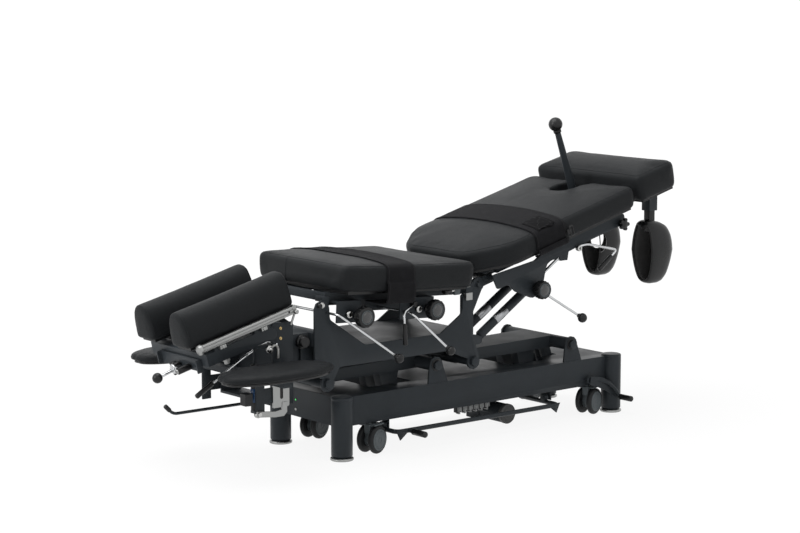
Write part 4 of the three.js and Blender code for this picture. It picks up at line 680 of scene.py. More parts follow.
def smooth_path(points: Sequence[Point], bend: float, steps: int = 10) -> list[Vector]:
    """Returns a path with its corners bent round.

    Args:
        points: The path's corners.
        bend: How far before and after a corner the path bends.
        steps: Steps round one corner.

    Returns:
        The path's points.
    """
    corners = [Vector(point) for point in points]
    path = [corners[0]]
    for before, corner, after in zip(corners, corners[1:], corners[2:]):
        first, last = before - corner, after - corner
        start = corner + first.normalized() * min(bend, first.length * 0.5)
        end = corner + last.normalized() * min(bend, last.length * 0.5)
        for k in range(steps + 1):
            t = k / steps
            path.append(start * (1 - t) ** 2 + corner * 2 * t * (1 - t) + end * t * t)
    path.append(corners[-1])
    return path


def path_length(path: Sequence[Vector]) -> float:
    """Returns the length of a path."""
    return sum((b - a).length for a, b in zip(path, path[1:]))


def even_path(path: Sequence[Vector], count: int) -> list[Vector]:
    """Returns a path resampled to a number of even steps.

    Args:
        path: The path's points.
        count: How many steps.

    Returns:
        The new points.
    """
    total = path_length(path)
    made, walked, i = [], 0.0, 0
    for mark in (total * k / count for k in range(count + 1)):
        while i < len(path) - 2 and walked + (path[i + 1] - path[i]).length < mark:
            walked += (path[i + 1] - path[i]).length
            i += 1
        step = (path[i + 1] - path[i]).length
        made.append(path[i].lerp(path[i + 1], min(1.0, max(0.0, (mark - walked) / step)) if step > 0 else 0.0))
    return made


def tube_rings(path: Sequence[Vector], radius: float, count: int) -> list[list[Vector]]:
    """Returns rings round a path, carried along it without a twist, with eased ends.

    Args:
        path: The path's points.
        radius: The tube's radius.
        count: Points in a ring.

    Returns:
        The rings, from start to end.
    """
    last = len(path) - 1
    tangents = [(path[min(i + 1, last)] - path[max(i - 1, 0)]).normalized() for i in range(len(path))]
    side = tangents[0].orthogonal().normalized()
    ease = min(1.0, radius * 0.25)
    places = [(point, i, radius) for i, point in enumerate(path)]
    places[0] = (path[0] + tangents[0] * ease, 0, radius)
    places[-1] = (path[-1] - tangents[-1] * ease, last, radius)
    rings = []
    for point, i, reach in [(path[0], 0, radius - ease), *places, (path[-1], last, radius - ease)]:
        side = (side - tangents[i] * side.dot(tangents[i])).normalized()
        rings.append(circle(point, side, tangents[i].cross(side), reach, count))
    return rings


class Shape:
    """A mesh under construction, in the millimetres of a seat. Its methods return the shape, so that they chain."""

    bar_ease = 0.8
    least_radius = 0.02

    def __init__(self) -> None:
        """Starts empty."""
        self.bm = bmesh.new()

    def rings(self, rings: Sequence[Sequence[Point]]) -> "Shape":
        """Skins rings of points with equal counts, and caps both ends.

        Args:
            rings: The rings, from one end to the other.

        Returns:
            The shape itself.
        """
        made = [[self.bm.verts.new(point) for point in ring] for ring in rings]
        faces = []
        for low, high in zip(made, made[1:]):
            for i in range(len(low)):
                j = (i + 1) % len(low)
                faces.append(self.bm.faces.new((low[i], low[j], high[j], high[i])))
        faces.append(self.bm.faces.new(made[0][::-1]))
        faces.append(self.bm.faces.new(made[-1]))
        bmesh.ops.recalc_face_normals(self.bm, faces=faces)
        return self

    def block(self, x: Point, y: Point, z: Point) -> "Shape":
        """Adds a box between pairs of places."""
        return self.rings([[(x[0], y[0], h), (x[1], y[0], h), (x[1], y[1], h), (x[0], y[1], h)] for h in z])

    def plate(self, outline: Sequence[Point], span: Point, across: str = "y") -> "Shape":
        """Adds a flat outline through a thickness.

        Args:
            outline: Its corners, in the two other axes in order.
            span: From where to where it goes.
            across: The axis of the thickness.

        Returns:
            The shape itself.
        """
        put: dict[str, Callable[[float, float, float], Point]] = {
            "x": lambda u, v, t: (t, u, v),
            "y": lambda u, v, t: (u, t, v),
            "z": lambda u, v, t: (u, v, t),
        }
        return self.rings([[put[across](u, v, t) for u, v in outline] for t in span])

    def turned(self, profile: Sequence[Point], start: Point, way: Point = ACROSS, count: int = 48) -> "Shape":
        """Adds a turned body.

        Args:
            profile: Pairs of radius and distance from the start, along the axis.
            start: Where its axis starts.
            way: The direction of its axis.
            count: Sides of the round.

        Returns:
            The shape itself.
        """
        axis = Vector(way).normalized()
        side = axis.orthogonal().normalized()
        other = axis.cross(side)
        centre = Vector(start)
        return self.rings([circle(centre + axis * along, side, other, max(radius, self.least_radius), count)
                           for radius, along in profile])

    def bar(self, start: Point, end: Point, radius: float, count: int = 32) -> "Shape":
        """Adds a round bar with eased ends.

        Args:
            start: One end.
            end: The other end.
            radius: The bar's radius.
            count: Points in a ring.

        Returns:
            The shape itself.
        """
        way, ease = Vector(end) - Vector(start), self.bar_ease
        profile = [(radius - ease, 0), (radius, ease), (radius, way.length - ease), (radius - ease, way.length)]
        return self.turned(profile, start, way, count)

    def ball(self, centre: Point, radius: float, count: int = 32) -> "Shape":
        """Adds a ball.

        Args:
            centre: The centre.
            radius: The ball's radius.
            count: Points in a ring.

        Returns:
            The shape itself.
        """
        place = Matrix.Translation(centre)
        bmesh.ops.create_uvsphere(self.bm, u_segments=count, v_segments=count // 2, radius=radius, matrix=place)
        return self

    def rod(self, points: Sequence[Point], radius: float, bend: float, count: int = 20) -> "Shape":
        """Adds a round rod along a path with round bends.

        Args:
            points: Ends and corners of the path.
            radius: Of the rod.
            bend: How far each bend reaches along its two sides.
            count: Sides of the round.

        Returns:
            The shape itself.
        """
        return self.rings(tube_rings(smooth_path(points, bend), radius, count))

    def moved(self, matrix: Matrix) -> "Shape":
        """Moves the whole shape."""
        bmesh.ops.transform(self.bm, matrix=matrix, verts=self.bm.verts)
        return self

    def mirrored(self) -> "Shape":
        """Adds the same shape on the other side of the table.

        Returns:
            The shape itself.
        """
        twin = bmesh.ops.duplicate(self.bm, geom=self.bm.verts[:] + self.bm.edges[:] + self.bm.faces[:])["geom"]
        for vert in (item for item in twin if isinstance(item, bmesh.types.BMVert)):
            vert.co.y = -vert.co.y
        bmesh.ops.reverse_faces(self.bm, faces=[item for item in twin if isinstance(item, bmesh.types.BMFace)])
        return self

    def mesh(self, name: str, seat: Seat = UPRIGHT) -> Mesh:
        """Makes the mesh in the model's metres, from sizes written in a seat, and returns it.

        Args:
            name: The mesh's name.
            seat: The seat that the sizes are written in.

        Returns:
            The mesh.
        """
        made = bpy.data.meshes.new(name)
        self.bm.to_mesh(made)
        made.transform(seat.matrix())
        return made


def plain_mesh(obj: Object) -> Object:
    """Turns an object's modifiers into its mesh, and returns the object.

    Args:
        obj: The object.

    Returns:
        The same object.
    """
    graph = bpy.context.evaluated_depsgraph_get()
    made = bpy.data.meshes.new_from_object(obj.evaluated_get(graph), preserve_all_data_layers=True, depsgraph=graph)
    old = obj.data
    obj.modifiers.clear()
    obj.data = made
    made.name = old.name
    if old.users == 0:
        bpy.data.meshes.remove(old)
    return obj


def new_object(name: str, mesh: Mesh) -> Object:
    """Puts a mesh in the scene as an object, and returns it.

    Args:
        name: The object's name.
        mesh: Its mesh.

    Returns:
        The object.
    """
    made = bpy.data.objects.new(name, mesh)
    bpy.context.scene.collection.objects.link(made)
    return made


def cut_away(piece: Object, shape: Shape, seat: Seat = UPRIGHT) -> None:
    """Cuts a shape out of a piece.

    Args:
        piece: The piece that is cut.
        shape: What is cut out of it.
        seat: The seat that the shape is written in.
    """
    tool = new_object("cutter", shape.mesh("cutter", seat))
    cut = piece.modifiers.new("cut", "BOOLEAN")
    cut.operation = "DIFFERENCE"
    cut.object = tool
    cut.solver = "EXACT"
    plain_mesh(piece)
    bpy.data.objects.remove(tool)


def ease_edges(obj: Object, width: float, angle: float) -> Object:
    """Rounds an object's sharp edges a little and shades it smooth.

    Args:
        obj: The object, a plain mesh in metres.
        width: Of the bevel, in millimetres.
        angle: Edges that turn by more than this are rounded, in degrees.

    Returns:
        The object.
    """
    obj.data.shade_smooth()
    bevel = obj.modifiers.new("eased edges", "BEVEL")
    bevel.width = width * MM
    bevel.segments = 2
    bevel.limit_method = "ANGLE"
    bevel.angle_limit = math.radians(angle)
    bevel.harden_normals = True
    bevel.use_clamp_overlap = True
    return plain_mesh(obj)


class Repeats:
    """Geometry node groups that repeat one small piece, each built at its first use."""

    def _new(self, name: str, **inputs: str) -> tuple[Wiring, Sequence[NodeSocket], NodeSocket]:
        """Starts a group that takes a geometry, a piece and named inputs.

        Args:
            name: The group's name.
            inputs: Type of each input, by name.

        Returns:
            The wiring, the sockets of the group's inputs, and the piece's geometry.
        """
        tree = bpy.data.node_groups.new(name, "GeometryNodeTree")
        tree.interface.new_socket("Geometry", in_out="INPUT", socket_type="NodeSocketGeometry")
        for label, kind in {"Piece": "Object", **inputs, "Material": "Material"}.items():
            tree.interface.new_socket(label, in_out="INPUT", socket_type="NodeSocket" + kind)
        tree.interface.new_socket("Geometry", in_out="OUTPUT", socket_type="NodeSocketGeometry")
        w = Wiring(tree)
        w.node("NodeGroupOutput")
        given = w.node("NodeGroupInput").outputs
        return w, given, w.node("GeometryNodeObjectInfo", {"Object": given["Piece"]}).outputs["Geometry"]

    def _copies(self, w: Wiring, points: NodeSocket, piece: NodeSocket, turn: NodeSocket) -> NodeSocket:
        """Sets a piece on points with a rotation, and returns the copies' socket."""
        inputs = {"Points": points, "Instance": piece, "Rotation": turn}
        return w.node("GeometryNodeInstanceOnPoints", inputs).outputs[0]

    def _close(self, w: Wiring, given: Sequence[NodeSocket], copies: NodeSocket) -> NodeTree:
        """Makes the copies real, gives them their material and returns the finished group."""
        real = w.node("GeometryNodeRealizeInstances", {0: copies}).outputs[0]
        return w.ends(w.node("GeometryNodeSetMaterial", {"Geometry": real, "Material": given["Material"]}).outputs[0])

    @cached_property
    def along_line(self) -> NodeTree:
        """Sets a piece at even steps along lines of edges, its X axis on the line.

        Returns:
            The finished node group.
        """
        w, given, piece = self._new("pieces along a line", Pitch="Float")
        curve = w.node("GeometryNodeMeshToCurve", {0: given["Geometry"]}).outputs[0]
        points = w.node("GeometryNodeCurveToPoints", {0: curve, "Length": given["Pitch"]}, mode="LENGTH").outputs
        turned = w.node("FunctionNodeAlignRotationToVector", {"Vector": points["Tangent"]}, axis="X").outputs[0]
        return self._close(w, given, self._copies(w, points["Points"], piece, turned))

    @cached_property
    def round_axis(self) -> NodeTree:
        """Sets a piece at even steps on a ring round each point of a mesh, the ring turned by a rotation.

        Returns:
            The finished node group.
        """
        w, given, piece = self._new("pieces round an axis", Count="Int", Radius="Float", Turn="Rotation")
        ring = w.node("GeometryNodeMeshCircle", {"Vertices": given["Count"], "Radius": given["Radius"]}).outputs[0]
        out_of = w.node("GeometryNodeInputPosition").outputs[0]
        turned = w.node("FunctionNodeAlignRotationToVector", {"Vector": out_of}, axis="X", pivot_axis="Z").outputs[0]
        rings = self._copies(w, given["Geometry"], self._copies(w, ring, piece, turned), given["Turn"])
        return self._close(w, given, rings)


REPEATS = Repeats()


def line_mesh(name: str, lines: Sequence[Sequence[Point]], seat: Seat) -> Mesh:
    """Returns a mesh of edges along lines of points.

    Args:
        name: The mesh's name.
        lines: The lines of points.
        seat: The seat that the points are written in.

    Returns:
        The mesh.
    """
    points: list[tuple[float, ...]] = []
    edges: list[tuple[int, int]] = []
    for line in lines:
        start = len(points)
        points += [tuple(place) for place in line]
        edges += [(start + i, start + i + 1) for i in range(len(line) - 1)]
    made = bpy.data.meshes.new(name)
    made.from_pydata(points, edges, [])
    made.transform(seat.matrix())
    return made


def sighted(tree: BVHTree, seat: Seat, start: Point, aim: Point, lift: float) -> Optional[Vector]:
    """Finds where a line of sight meets a surface.

    Args:
        tree: The surface.
        seat: The frame of the points.
        start: Where the line starts, outside.
        aim: A point that it runs towards.
        lift: How far the found place is raised off the surface.

    Returns:
        The place in the seat's millimetres, or None.
    """
    out = seat.matrix()
    into = out.inverted()
    begin = out @ Vector(start)
    hit, normal, _, _ = tree.ray_cast(begin, (out @ Vector(aim) - begin).normalized())
    return None if hit is None else into @ hit + (into.to_3x3() @ normal).normalized() * lift


def surface_of(cushion: Object) -> BVHTree:
    """Returns a cushion's surface, to cast lines of sight at."""
    return BVHTree.FromObject(cushion, bpy.context.evaluated_depsgraph_get())


@dataclass(frozen=True)
class Padding:
    """How a padded piece is swelled by a cloth simulation."""

    voxel: float = 6.5
    pressure: float = 4.0
    cap: float = 4.0
    frames: int = 20
    mass: float = 0.4
    stiffness: float = 25.0
    bending: float = 1.5
    finer: int = 1

    def cover(self, obj: Object, held: Callable[[Vector], bool]) -> list[Vector]:
        """Lets a cover swell.

        Args:
            obj: The cover, an even mesh.
            held: Says of a point, in metres, whether it stays where it is.

        Returns:
            The swelled places of its vertices, none moved by more than the cap.
        """
        rest = [vert.co.copy() for vert in obj.data.vertices]
        obj.vertex_groups.new(name="held").add([i for i, place in enumerate(rest) if held(place)], 1.0, "ADD")
        cloth = obj.modifiers.new("cover", "CLOTH")
        cloth.settings.quality = 5
        cloth.settings.mass = self.mass
        cloth.settings.tension_stiffness = cloth.settings.compression_stiffness = self.stiffness
        cloth.settings.bending_stiffness = self.bending
        cloth.settings.use_pressure = True
        cloth.settings.uniform_pressure_force = self.pressure
        cloth.settings.vertex_group_mass = "held"
        cloth.settings.effector_weights.gravity = 0.0
        cloth.point_cache.frame_start = 1
        cloth.point_cache.frame_end = self.frames
        for number in range(1, self.frames + 1):
            bpy.context.scene.frame_set(number)
        limit = self.cap * MM
        moved = []
        for place, vert in zip(rest, obj.evaluated_get(bpy.context.evaluated_depsgraph_get()).data.vertices):
            step = vert.co - place
            moved.append(place + step * (limit / (limit + step.length)) if step.length > 0 else place)
        obj.modifiers.clear()
        obj.vertex_groups.clear()
        bpy.context.scene.frame_set(1)
        return moved

    def swell(self, obj: Object, held: Callable[[Vector], bool]) -> None:
        """Remeshes a closed form that is a little smaller than the piece, and lets its cover swell.

        Args:
            obj: The closed form.
            held: Says whether a point of it stays in place.
        """
        remesh = obj.modifiers.new("even mesh", "REMESH")
        remesh.mode = "VOXEL"
        remesh.voxel_size = self.voxel * MM
        plain_mesh(obj)
        for vert, place in zip(obj.data.vertices, self.cover(obj, held)):
            vert.co = place
        soften = obj.modifiers.new("even cover", "SMOOTH")
        soften.iterations = 3
        soften.factor = 0.5
        finer = obj.modifiers.new("finer cover", "SUBSURF")
        finer.levels = finer.render_levels = self.finer
        plain_mesh(obj)
        obj.data.shade_smooth()


@dataclass(frozen=True)
class Bench:
    """Where pieces are made: the body that they ride on and the seat of their sizes."""

    body: str
    seat: Seat = UPRIGHT
    stitch_pitch: float = 4.2
    stitch_length: float = 3.0
    thread_radius: float = 0.42

    def settle(self, obj: Object, finish: Finish, *replaces: str) -> Object:
        """Gives a finished piece its material and its body.

        Args:
            obj: The piece.
            finish: Its finish.
            replaces: The nodes that it stands for.

        Returns:
            The piece.
        """
        obj.data.materials.clear()
        obj.data.materials.append(material_of(finish))
        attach(obj, self.body)
        slot_of(finish)
        if replaces:
            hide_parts(*replaces)
        log.info("%s rides on %s, %d faces", obj.name, self.body, len(obj.data.polygons))
        return obj

    def fit(self, name: str, shape: Shape, finish: Finish, *replaces: str,
            edge: float = 0.0, angle: float = 40.0) -> Object:
        """Makes a rigid piece from a shape.

        Args:
            name: The piece's name.
            shape: Its shape.
            finish: Its finish.
            replaces: The nodes that it stands for.
            edge: Width of its eased edges in millimetres, or 0 for none.
            angle: Edges that turn by more than this are eased, in degrees.

        Returns:
            The piece.
        """
        obj = new_object(name, shape.mesh(name, self.seat))
        if edge > 0:
            ease_edges(obj, edge, angle)
        else:
            obj.data.shade_smooth()
        return self.settle(obj, finish, *replaces)

    def repeat(self, name: str, tree: NodeTree, lines: Sequence[Sequence[Point]], piece: Shape, finish: Finish,
               **inputs: object) -> Object:
        """Repeats a small piece over points or lines.

        Args:
            name: The result's name.
            tree: The geometry node group that does it.
            lines: The points or lines.
            piece: The piece, in millimetres about its own middle.
            finish: The finish.
            inputs: Values for the group's other inputs.

        Returns:
            The copies, as one plain mesh.
        """
        pattern = new_object(name + "_pattern", piece.mesh(name + "_pattern", LOCAL))
        pattern.data.shade_smooth()
        made = new_object(name, line_mesh(name, lines, self.seat))
        modifier = made.modifiers.new("repeats", "NODES")
        modifier.node_group = tree
        values = {"Piece": pattern, "Material": material_of(finish), **inputs}
        for item in tree.interface.items_tree:
            if item.in_out == "INPUT" and item.name in values:
                modifier[item.identifier] = values[item.name]
        plain_mesh(made)
        spare = pattern.data
        bpy.data.objects.remove(pattern)
        bpy.data.meshes.remove(spare)
        return self.settle(made, finish)

    def stitch(self, name: str, lines: Sequence[Sequence[Point]]) -> Object:
        """Sews stitches along lines, and returns them as one plain mesh.

        Args:
            name: The piece's name.
            lines: The lines of points.

        Returns:
            The stitches.
        """
        r, long = self.thread_radius, self.stitch_length
        profile = [(0, 0), (r * 0.7, r * 0.3), (r, r), (r, long - r), (r * 0.7, long - r * 0.3), (0, long)]
        thread = Shape().turned(profile, (-long / 2, 0, 0), ALONG, 8)
        return self.repeat(name, REPEATS.along_line, lines, thread, Finish.THREAD, Pitch=self.stitch_pitch * MM)

    def seam(self, name: str, cushion: Object, starts: Sequence[Point], aims: Sequence[Point],
             radius: float = 0.9) -> None:
        """Lays a cord where lines of sight meet a cushion.

        Args:
            name: The piece's name.
            cushion: The cushion.
            starts: Where each line starts, outside.
            aims: A point that each line runs towards.
            radius: Of the cord.
        """
        tree = surface_of(cushion)
        found = [sighted(tree, self.seat, start, aim, 0.1) for start, aim in zip(starts, aims)]
        places = [place for place in found if place is not None]
        path = even_path(places, max(24, int(path_length(places) / 9)))
        self.fit(name, Shape().rings(tube_rings(path, radius, 8)), Finish.VINYL)

    def seam_round(self, name: str, cushion: Object, centre: Point, reach: float, sweep: tuple[float, float, int],
                   upright: bool = False) -> None:
        """Lays a cord round a cushion, where a fan of lines of sight meets it.

        Args:
            name: The piece's name.
            cushion: The cushion.
            centre: Where the lines run to.
            reach: How far out they start.
            sweep: First angle, last angle and steps of the fan.
            upright: Whether the fan stands across the table; else it lies flat.
        """
        first, last, steps = sweep
        starts = []
        for k in range(steps + 1):
            t = math.radians(first + (last - first) * k / steps)
            out = (0, math.cos(t), math.sin(t)) if upright else (math.cos(t), math.sin(t), 0)
            starts.append([c + reach * o for c, o in zip(centre, out)])
        self.seam(name, cushion, starts, [centre] * len(starts))

    def upholster(self, name: str, shape: Shape, node: str, held_below: float, fill: float,
                  padding: Padding = Padding(), notch: Optional[Shape] = None) -> Object:
        """Makes a padded piece.

        Args:
            name: The piece's name.
            shape: The closed form that its cover swells from.
            node: The node that it stands for.
            held_below: The height below which the cover is fixed.
            fill: How full it is, from 0 to 1; not used.
            padding: Sizes of the simulation.
            notch: A shape to cut out of the form first.

        Returns:
            The piece.
        """
        pad = new_object(name, shape.mesh(name, self.seat))
        if notch:
            cut_away(pad, notch, self.seat)
        into = self.seat.matrix().inverted()
        padding.swell(pad, lambda place: (into @ place).z < held_below)
        self.settle(pad, Finish.VINYL, node)
        return pad


def dressed(node: str, edge: float = 0.7, finish: Finish = Finish.FRAME_PAINT) -> Object:
    """Makes a piece of a node's own shape, with its edges eased.

    Args:
        node: The node.
        edge: Width of the eased edges in millimetres.
        finish: The piece's finish.

    Returns:
        The piece.
    """
    bm = bmesh.new()
    bm.from_mesh(frame["nodes"][node].data)
    bmesh.ops.remove_doubles(bm, verts=bm.verts, dist=1e-5)
    bmesh.ops.dissolve_degenerate(bm, edges=bm.edges, dist=1e-5)
    bmesh.ops.dissolve_limit(bm, angle_limit=math.radians(0.6), verts=bm.verts, edges=bm.edges)
    mesh = bpy.data.meshes.new(node + "_dressed")
    bm.to_mesh(mesh)
    obj = ease_edges(new_object(node + "_dressed", mesh), edge, 46.0)
    return Bench(BODY_OF[node]).settle(obj, finish, node)


@dataclass(frozen=True)
class CushionForm:
    """A boxed cushion: its plan, its heights and how its cover is drawn in."""

    corners: tuple[tuple[float, float], ...]
    radii: tuple[float, ...]
    bottom: float
    top: float
    crown: float
    draw_in: float
    shrink: float = 2.5
    edge: float = 15.0

    def shape(self) -> Shape:
        """Returns the closed form that the cover swells from.

        Returns:
            The form.
        """
        low = self.shrink + self.draw_in
        face = self.top - self.bottom - 10 - self.edge
        levels = [(low + 7, self.bottom), (low + 1, self.bottom + 4)]
        for t in (0.15, 0.4, 0.65, 0.9):
            levels.append((self.shrink + self.draw_in * (1 - t) ** 2 * 0.8, self.bottom + 10 + face * t))
        for turn in (math.radians(18 * k) for k in range(1, 6)):
            drawn, fallen = self.edge * (1 - math.cos(turn)), self.edge * (1 - math.sin(turn))
            levels.append((self.shrink + drawn, self.top - fallen - self.shrink))
        half = min(max(c[i] for c in self.corners) - min(c[i] for c in self.corners) for i in (0, 1)) / 2
        start = self.shrink + self.edge
        for share in (0.12, 0.25, 0.4, 0.55, 0.7, 0.82, 0.9):
            raised = self.crown * (1 - (1 - share) ** 2)
            levels.append((start + (half - start) * share, self.top - self.shrink + raised))
        rings = []
        for distance, z in levels:
            radii = [max(radius - distance, radius / 6) for radius in self.radii]
            rings.append([(x, y, z) for x, y in arc_corners(inset(self.corners, distance), radii, 9.0)])
        return Shape().rings(rings)


@dataclass
class Strap:
    """A webbing strap sewn round a cushion: over it, down both sides and under its frame.

    The ends are points in Y and Z that its near end passes through below the cushion. The gap is half the width of an
    opening at x = 0 that it bridges. The rows are the lines of its middle plane, from one edge to the other.
    """

    name: str
    bench: Bench
    x: tuple[float, float]
    ends: Sequence[Point]
    gap: float = 0.0
    lift: float = 2.2
    thickness: float = 2.6
    columns: int = 16
    steps: int = 150
    rays: int = 120
    half_width: float = 300.0
    rows: list[list[Vector]] = field(default_factory=list)

    def over(self, tree: BVHTree, at: float) -> list[Vector]:
        """Returns the line over the cushion, and round its ends, at a place along the table.

        Args:
            tree: The cushion's surface.
            at: The place along the table.

        Returns:
            The line's points.
        """
        found = []
        for k in range(self.rays + 1):
            turn = math.radians(-12 + 204 * k / self.rays)
            c, s = math.cos(turn), math.sin(turn)
            start = (at, self.half_width * 1.4 * c, 20 + self.half_width * 0.9 * s)
            aim = (at, 0.62 * self.half_width * signed_power(c, 0.6), 62)
            found.append(sighted(tree, self.bench.seat, start, aim, self.lift))

        def turn_round(place: Vector) -> float:
            """Returns a place's angle round the cushion, from its far side over the top to its near side."""
            turn = math.atan2(place.z - 40, place.y)
            return turn + 2 * math.pi if turn < -math.pi / 2 else turn

        top = sorted((place for place in found if place is not None), key=turn_round)
        near = [Vector((at, -y, z)) for y, z in self.ends]
        far = [Vector((at, y, z)) for y, z in self.ends]
        return even_path(far[::-1] + top + near, self.steps)

    def lay(self, cushion: Object, node: str) -> None:
        """Lays the strap over a cushion, to stand for a node.

        Args:
            cushion: The cushion.
            node: The node.
        """
        tree = surface_of(cushion)
        first, last = self.x
        for i in range(self.columns + 1):
            at = first + (last - first) * i / self.columns
            if abs(at) < self.gap:
                share = (at + self.gap) / (2 * self.gap)
                brinks = zip(self.over(tree, -self.gap), self.over(tree, self.gap))
                self.rows.append([a.lerp(b, share) for a, b in brinks])
            else:
                self.rows.append(self.over(tree, at))
        bm = bmesh.new()
        sheet_map = bm.loops.layers.uv.new("flat")
        grid = [[bm.verts.new(place) for place in row] for row in self.rows]
        wide, long = (last - first) * MM, path_length(self.rows[self.columns // 2]) * MM
        for i in range(self.columns):
            for k in range(self.steps):
                corners = ((i, k), (i, k + 1), (i + 1, k + 1), (i + 1, k))
                face = bm.faces.new([grid[u][v] for u, v in corners])
                for loop, (u, v) in zip(face.loops, corners):
                    loop[sheet_map].uv = (wide * u / self.columns, long * v / self.steps)
        mesh = bpy.data.meshes.new(self.name)
        bm.to_mesh(mesh)
        mesh.transform(self.bench.seat.matrix())
        obj = new_object(self.name, mesh)
        obj.modifiers.new("ease", "SMOOTH").iterations = 2
        solid = obj.modifiers.new("thickness", "SOLIDIFY")
        solid.thickness = self.thickness * MM
        solid.offset = 0.0
        plain_mesh(obj)
        obj.data.shade_smooth()
        self.bench.settle(obj, Finish.WEBBING, node)

    def normal(self, i: int, k: int) -> Vector:
        """Returns the direction that the strap faces at a place in its grid, away from the cushion.

        Args:
            i: The row.
            k: The place in the row.

        Returns:
            The direction.
        """
        across = self.rows[min(i + 1, self.columns)][k] - self.rows[max(i - 1, 0)][k]
        along = self.rows[i][min(k + 1, self.steps)] - self.rows[i][max(k - 1, 0)]
        return along.cross(across).normalized()

    def stitches(self, name: str, span: tuple[int, int]) -> None:
        """Sews a row of stitches beside each edge, over a span of steps."""
        lines = [[self.rows[i][k] + self.normal(i, k) * 1.9 for k in range(*span)] for i in (1, self.columns - 1)]
        self.bench.stitch(name, lines)

    def patch(self, name: str, columns: tuple[int, int], span: tuple[int, int]) -> None:
        """Sews a patch on the strap, with a box and a cross of stitches.

        Args:
            name: The patch's name.
            columns: The first and the last row under the patch.
            span: Where it starts and ends along the rows.
        """
        (i0, i1), (k0, k1) = columns, span
        grid = [[self.rows[i][k] for i in range(i0, i1 + 1)] for k in range(k0, k1 + 1)]
        ways = [[self.normal(i, k) for i in range(i0, i1 + 1)] for k in range(k0, k1 + 1)]
        rings = []
        for line, way in zip(grid, ways):
            pairs = list(zip(line, way))
            rings.append([p + w * 1.0 for p, w in pairs] + [p + w * 3.2 for p, w in pairs[::-1]])
        self.bench.fit(name, Shape().rings(rings), Finish.WEBBING, edge=0.5, angle=50)

        def at(u: float, v: float) -> Vector:
            """Returns a place on the patch, from its shares of the width and the length."""
            k, i = round(v * (k1 - k0)), round(u * (i1 - i0))
            return grid[k][i] + ways[k][i] * 3.5

        steps = [t / 12 for t in range(1, 12)]
        lines = [[at(u, v) for u in (0.08, 0.5, 0.92)] for v in (0.06, 0.94)]
        lines += [[at(u, v) for v in steps] for u in (0.08, 0.92)]
        lines += [[at(t, t) for t in steps], [at(t, 1 - t) for t in steps]]
        self.bench.stitch(name + "_stitches", lines)


LEVER_RADIUS = 4.0


def hollow(bore: float, radius: float, low: float, high: float, ease: float, lead: Optional[float] = None) -> Outline:
    """Returns the profile of a ring or tube with eased rims.

    Args:
        bore: Its inner radius.
        radius: Its outer radius.
        low: Where it starts along its axis.
        high: Where it ends.
        ease: How far the rims are drawn in.
        lead: How far along the axis they are eased; the same as the ease if not given.

    Returns:
        The profile.
    """
    lead = ease if lead is None else lead
    rim = radius - ease
    return [(bore, low), (rim, low), (radius, low + lead), (radius, high - lead), (rim, high), (bore, high)]


def knob(name: str, body: str, x: float, z: float, radius: float = 32.0, outer: float = -240.0,
         inner: float = -212.0, hub_end: float = -186.4) -> None:
    """Makes a tension knob: a ribbed wheel with a clear cap in a grey ring.

    Args:
        name: The piece's name.
        body: The body that it rides on, and the node that it stands for.
        x: Where its axis lies along the table.
        z: Height of the axis.
        radius: Of the knob.
        outer: Where its face is.
        inner: Where its back is.
        hub_end: Where its hub ends.
    """
    bench, face, deep, hub = Bench(body), (x, outer, z), inner - outer, hub_end - outer
    wheel = [(0, 1.5), (21.5, 1.5), (23, 0.6), (radius - 3, 0), (radius - 0.8, 1.2), (radius, 4), (radius, deep - 4),
             (radius - 1, deep - 1.2), (radius - 4, deep), (12, deep), (12, hub), (0, hub)]
    bench.fit(name, Shape().turned(wheel, face, count=64), Finish.BLACK_PLASTIC, body, edge=0.5, angle=35)
    lens = [(0, -3), (6, -2.8), (12, -2.2), (16, -1.2), (19, 0.2), (19.6, 1.2), (19.6, 2.5), (0, 2.5)]
    bench.fit(name + "_lens", Shape().turned(lens, face, count=56), Finish.CLEAR_CAP)
    ring = [(19.9, 0.4), (20.4, -0.6), (21.6, -0.8), (22.4, 0.2), (22.4, 2.4), (19.9, 2.4)]
    bench.fit(name + "_ring", Shape().turned(ring, face, count=56), Finish.CASTOR_GREY)
    half = deep / 2 - 3
    rib = Shape().turned(hollow(0, 2.6, -half, half, 1), (0, 0, 0), UP, 10)
    bench.repeat(name + "_ribs", REPEATS.round_axis, [[(x, (outer + inner) / 2, z)]], rib, Finish.BLACK_PLASTIC,
                 Count=14, Radius=(radius - 0.8) * MM, Turn=FACING_SIDEWAYS)


def ball_lever(name: str, body: str, path: Sequence[Point], ball: float, bend: float = 20.0) -> None:
    """Makes a bright bent lever with a black ball on its end.

    Args:
        name: The piece's name.
        body: The body that it rides on.
        path: The lever's corners.
        ball: The ball's radius.
        bend: How far before and after a corner the path bends.
    """
    bench, r = Bench(body), LEVER_RADIUS
    bench.fit(name + "_rod", Shape().rod(path, r, bend), Finish.CHROME, body)
    end = Vector(path[-1])
    base = end - (end - Vector(path[-2])).normalized() * (ball + 2.5)
    collar = [(r + 1, 0), (r + 3, 0.4), (r + 3.4, 2), (r + 3, 7)]
    bench.fit(name + "_ball", Shape().turned(collar, base, end - base, 32).ball(end, ball, 40), Finish.BLACK_PLASTIC)


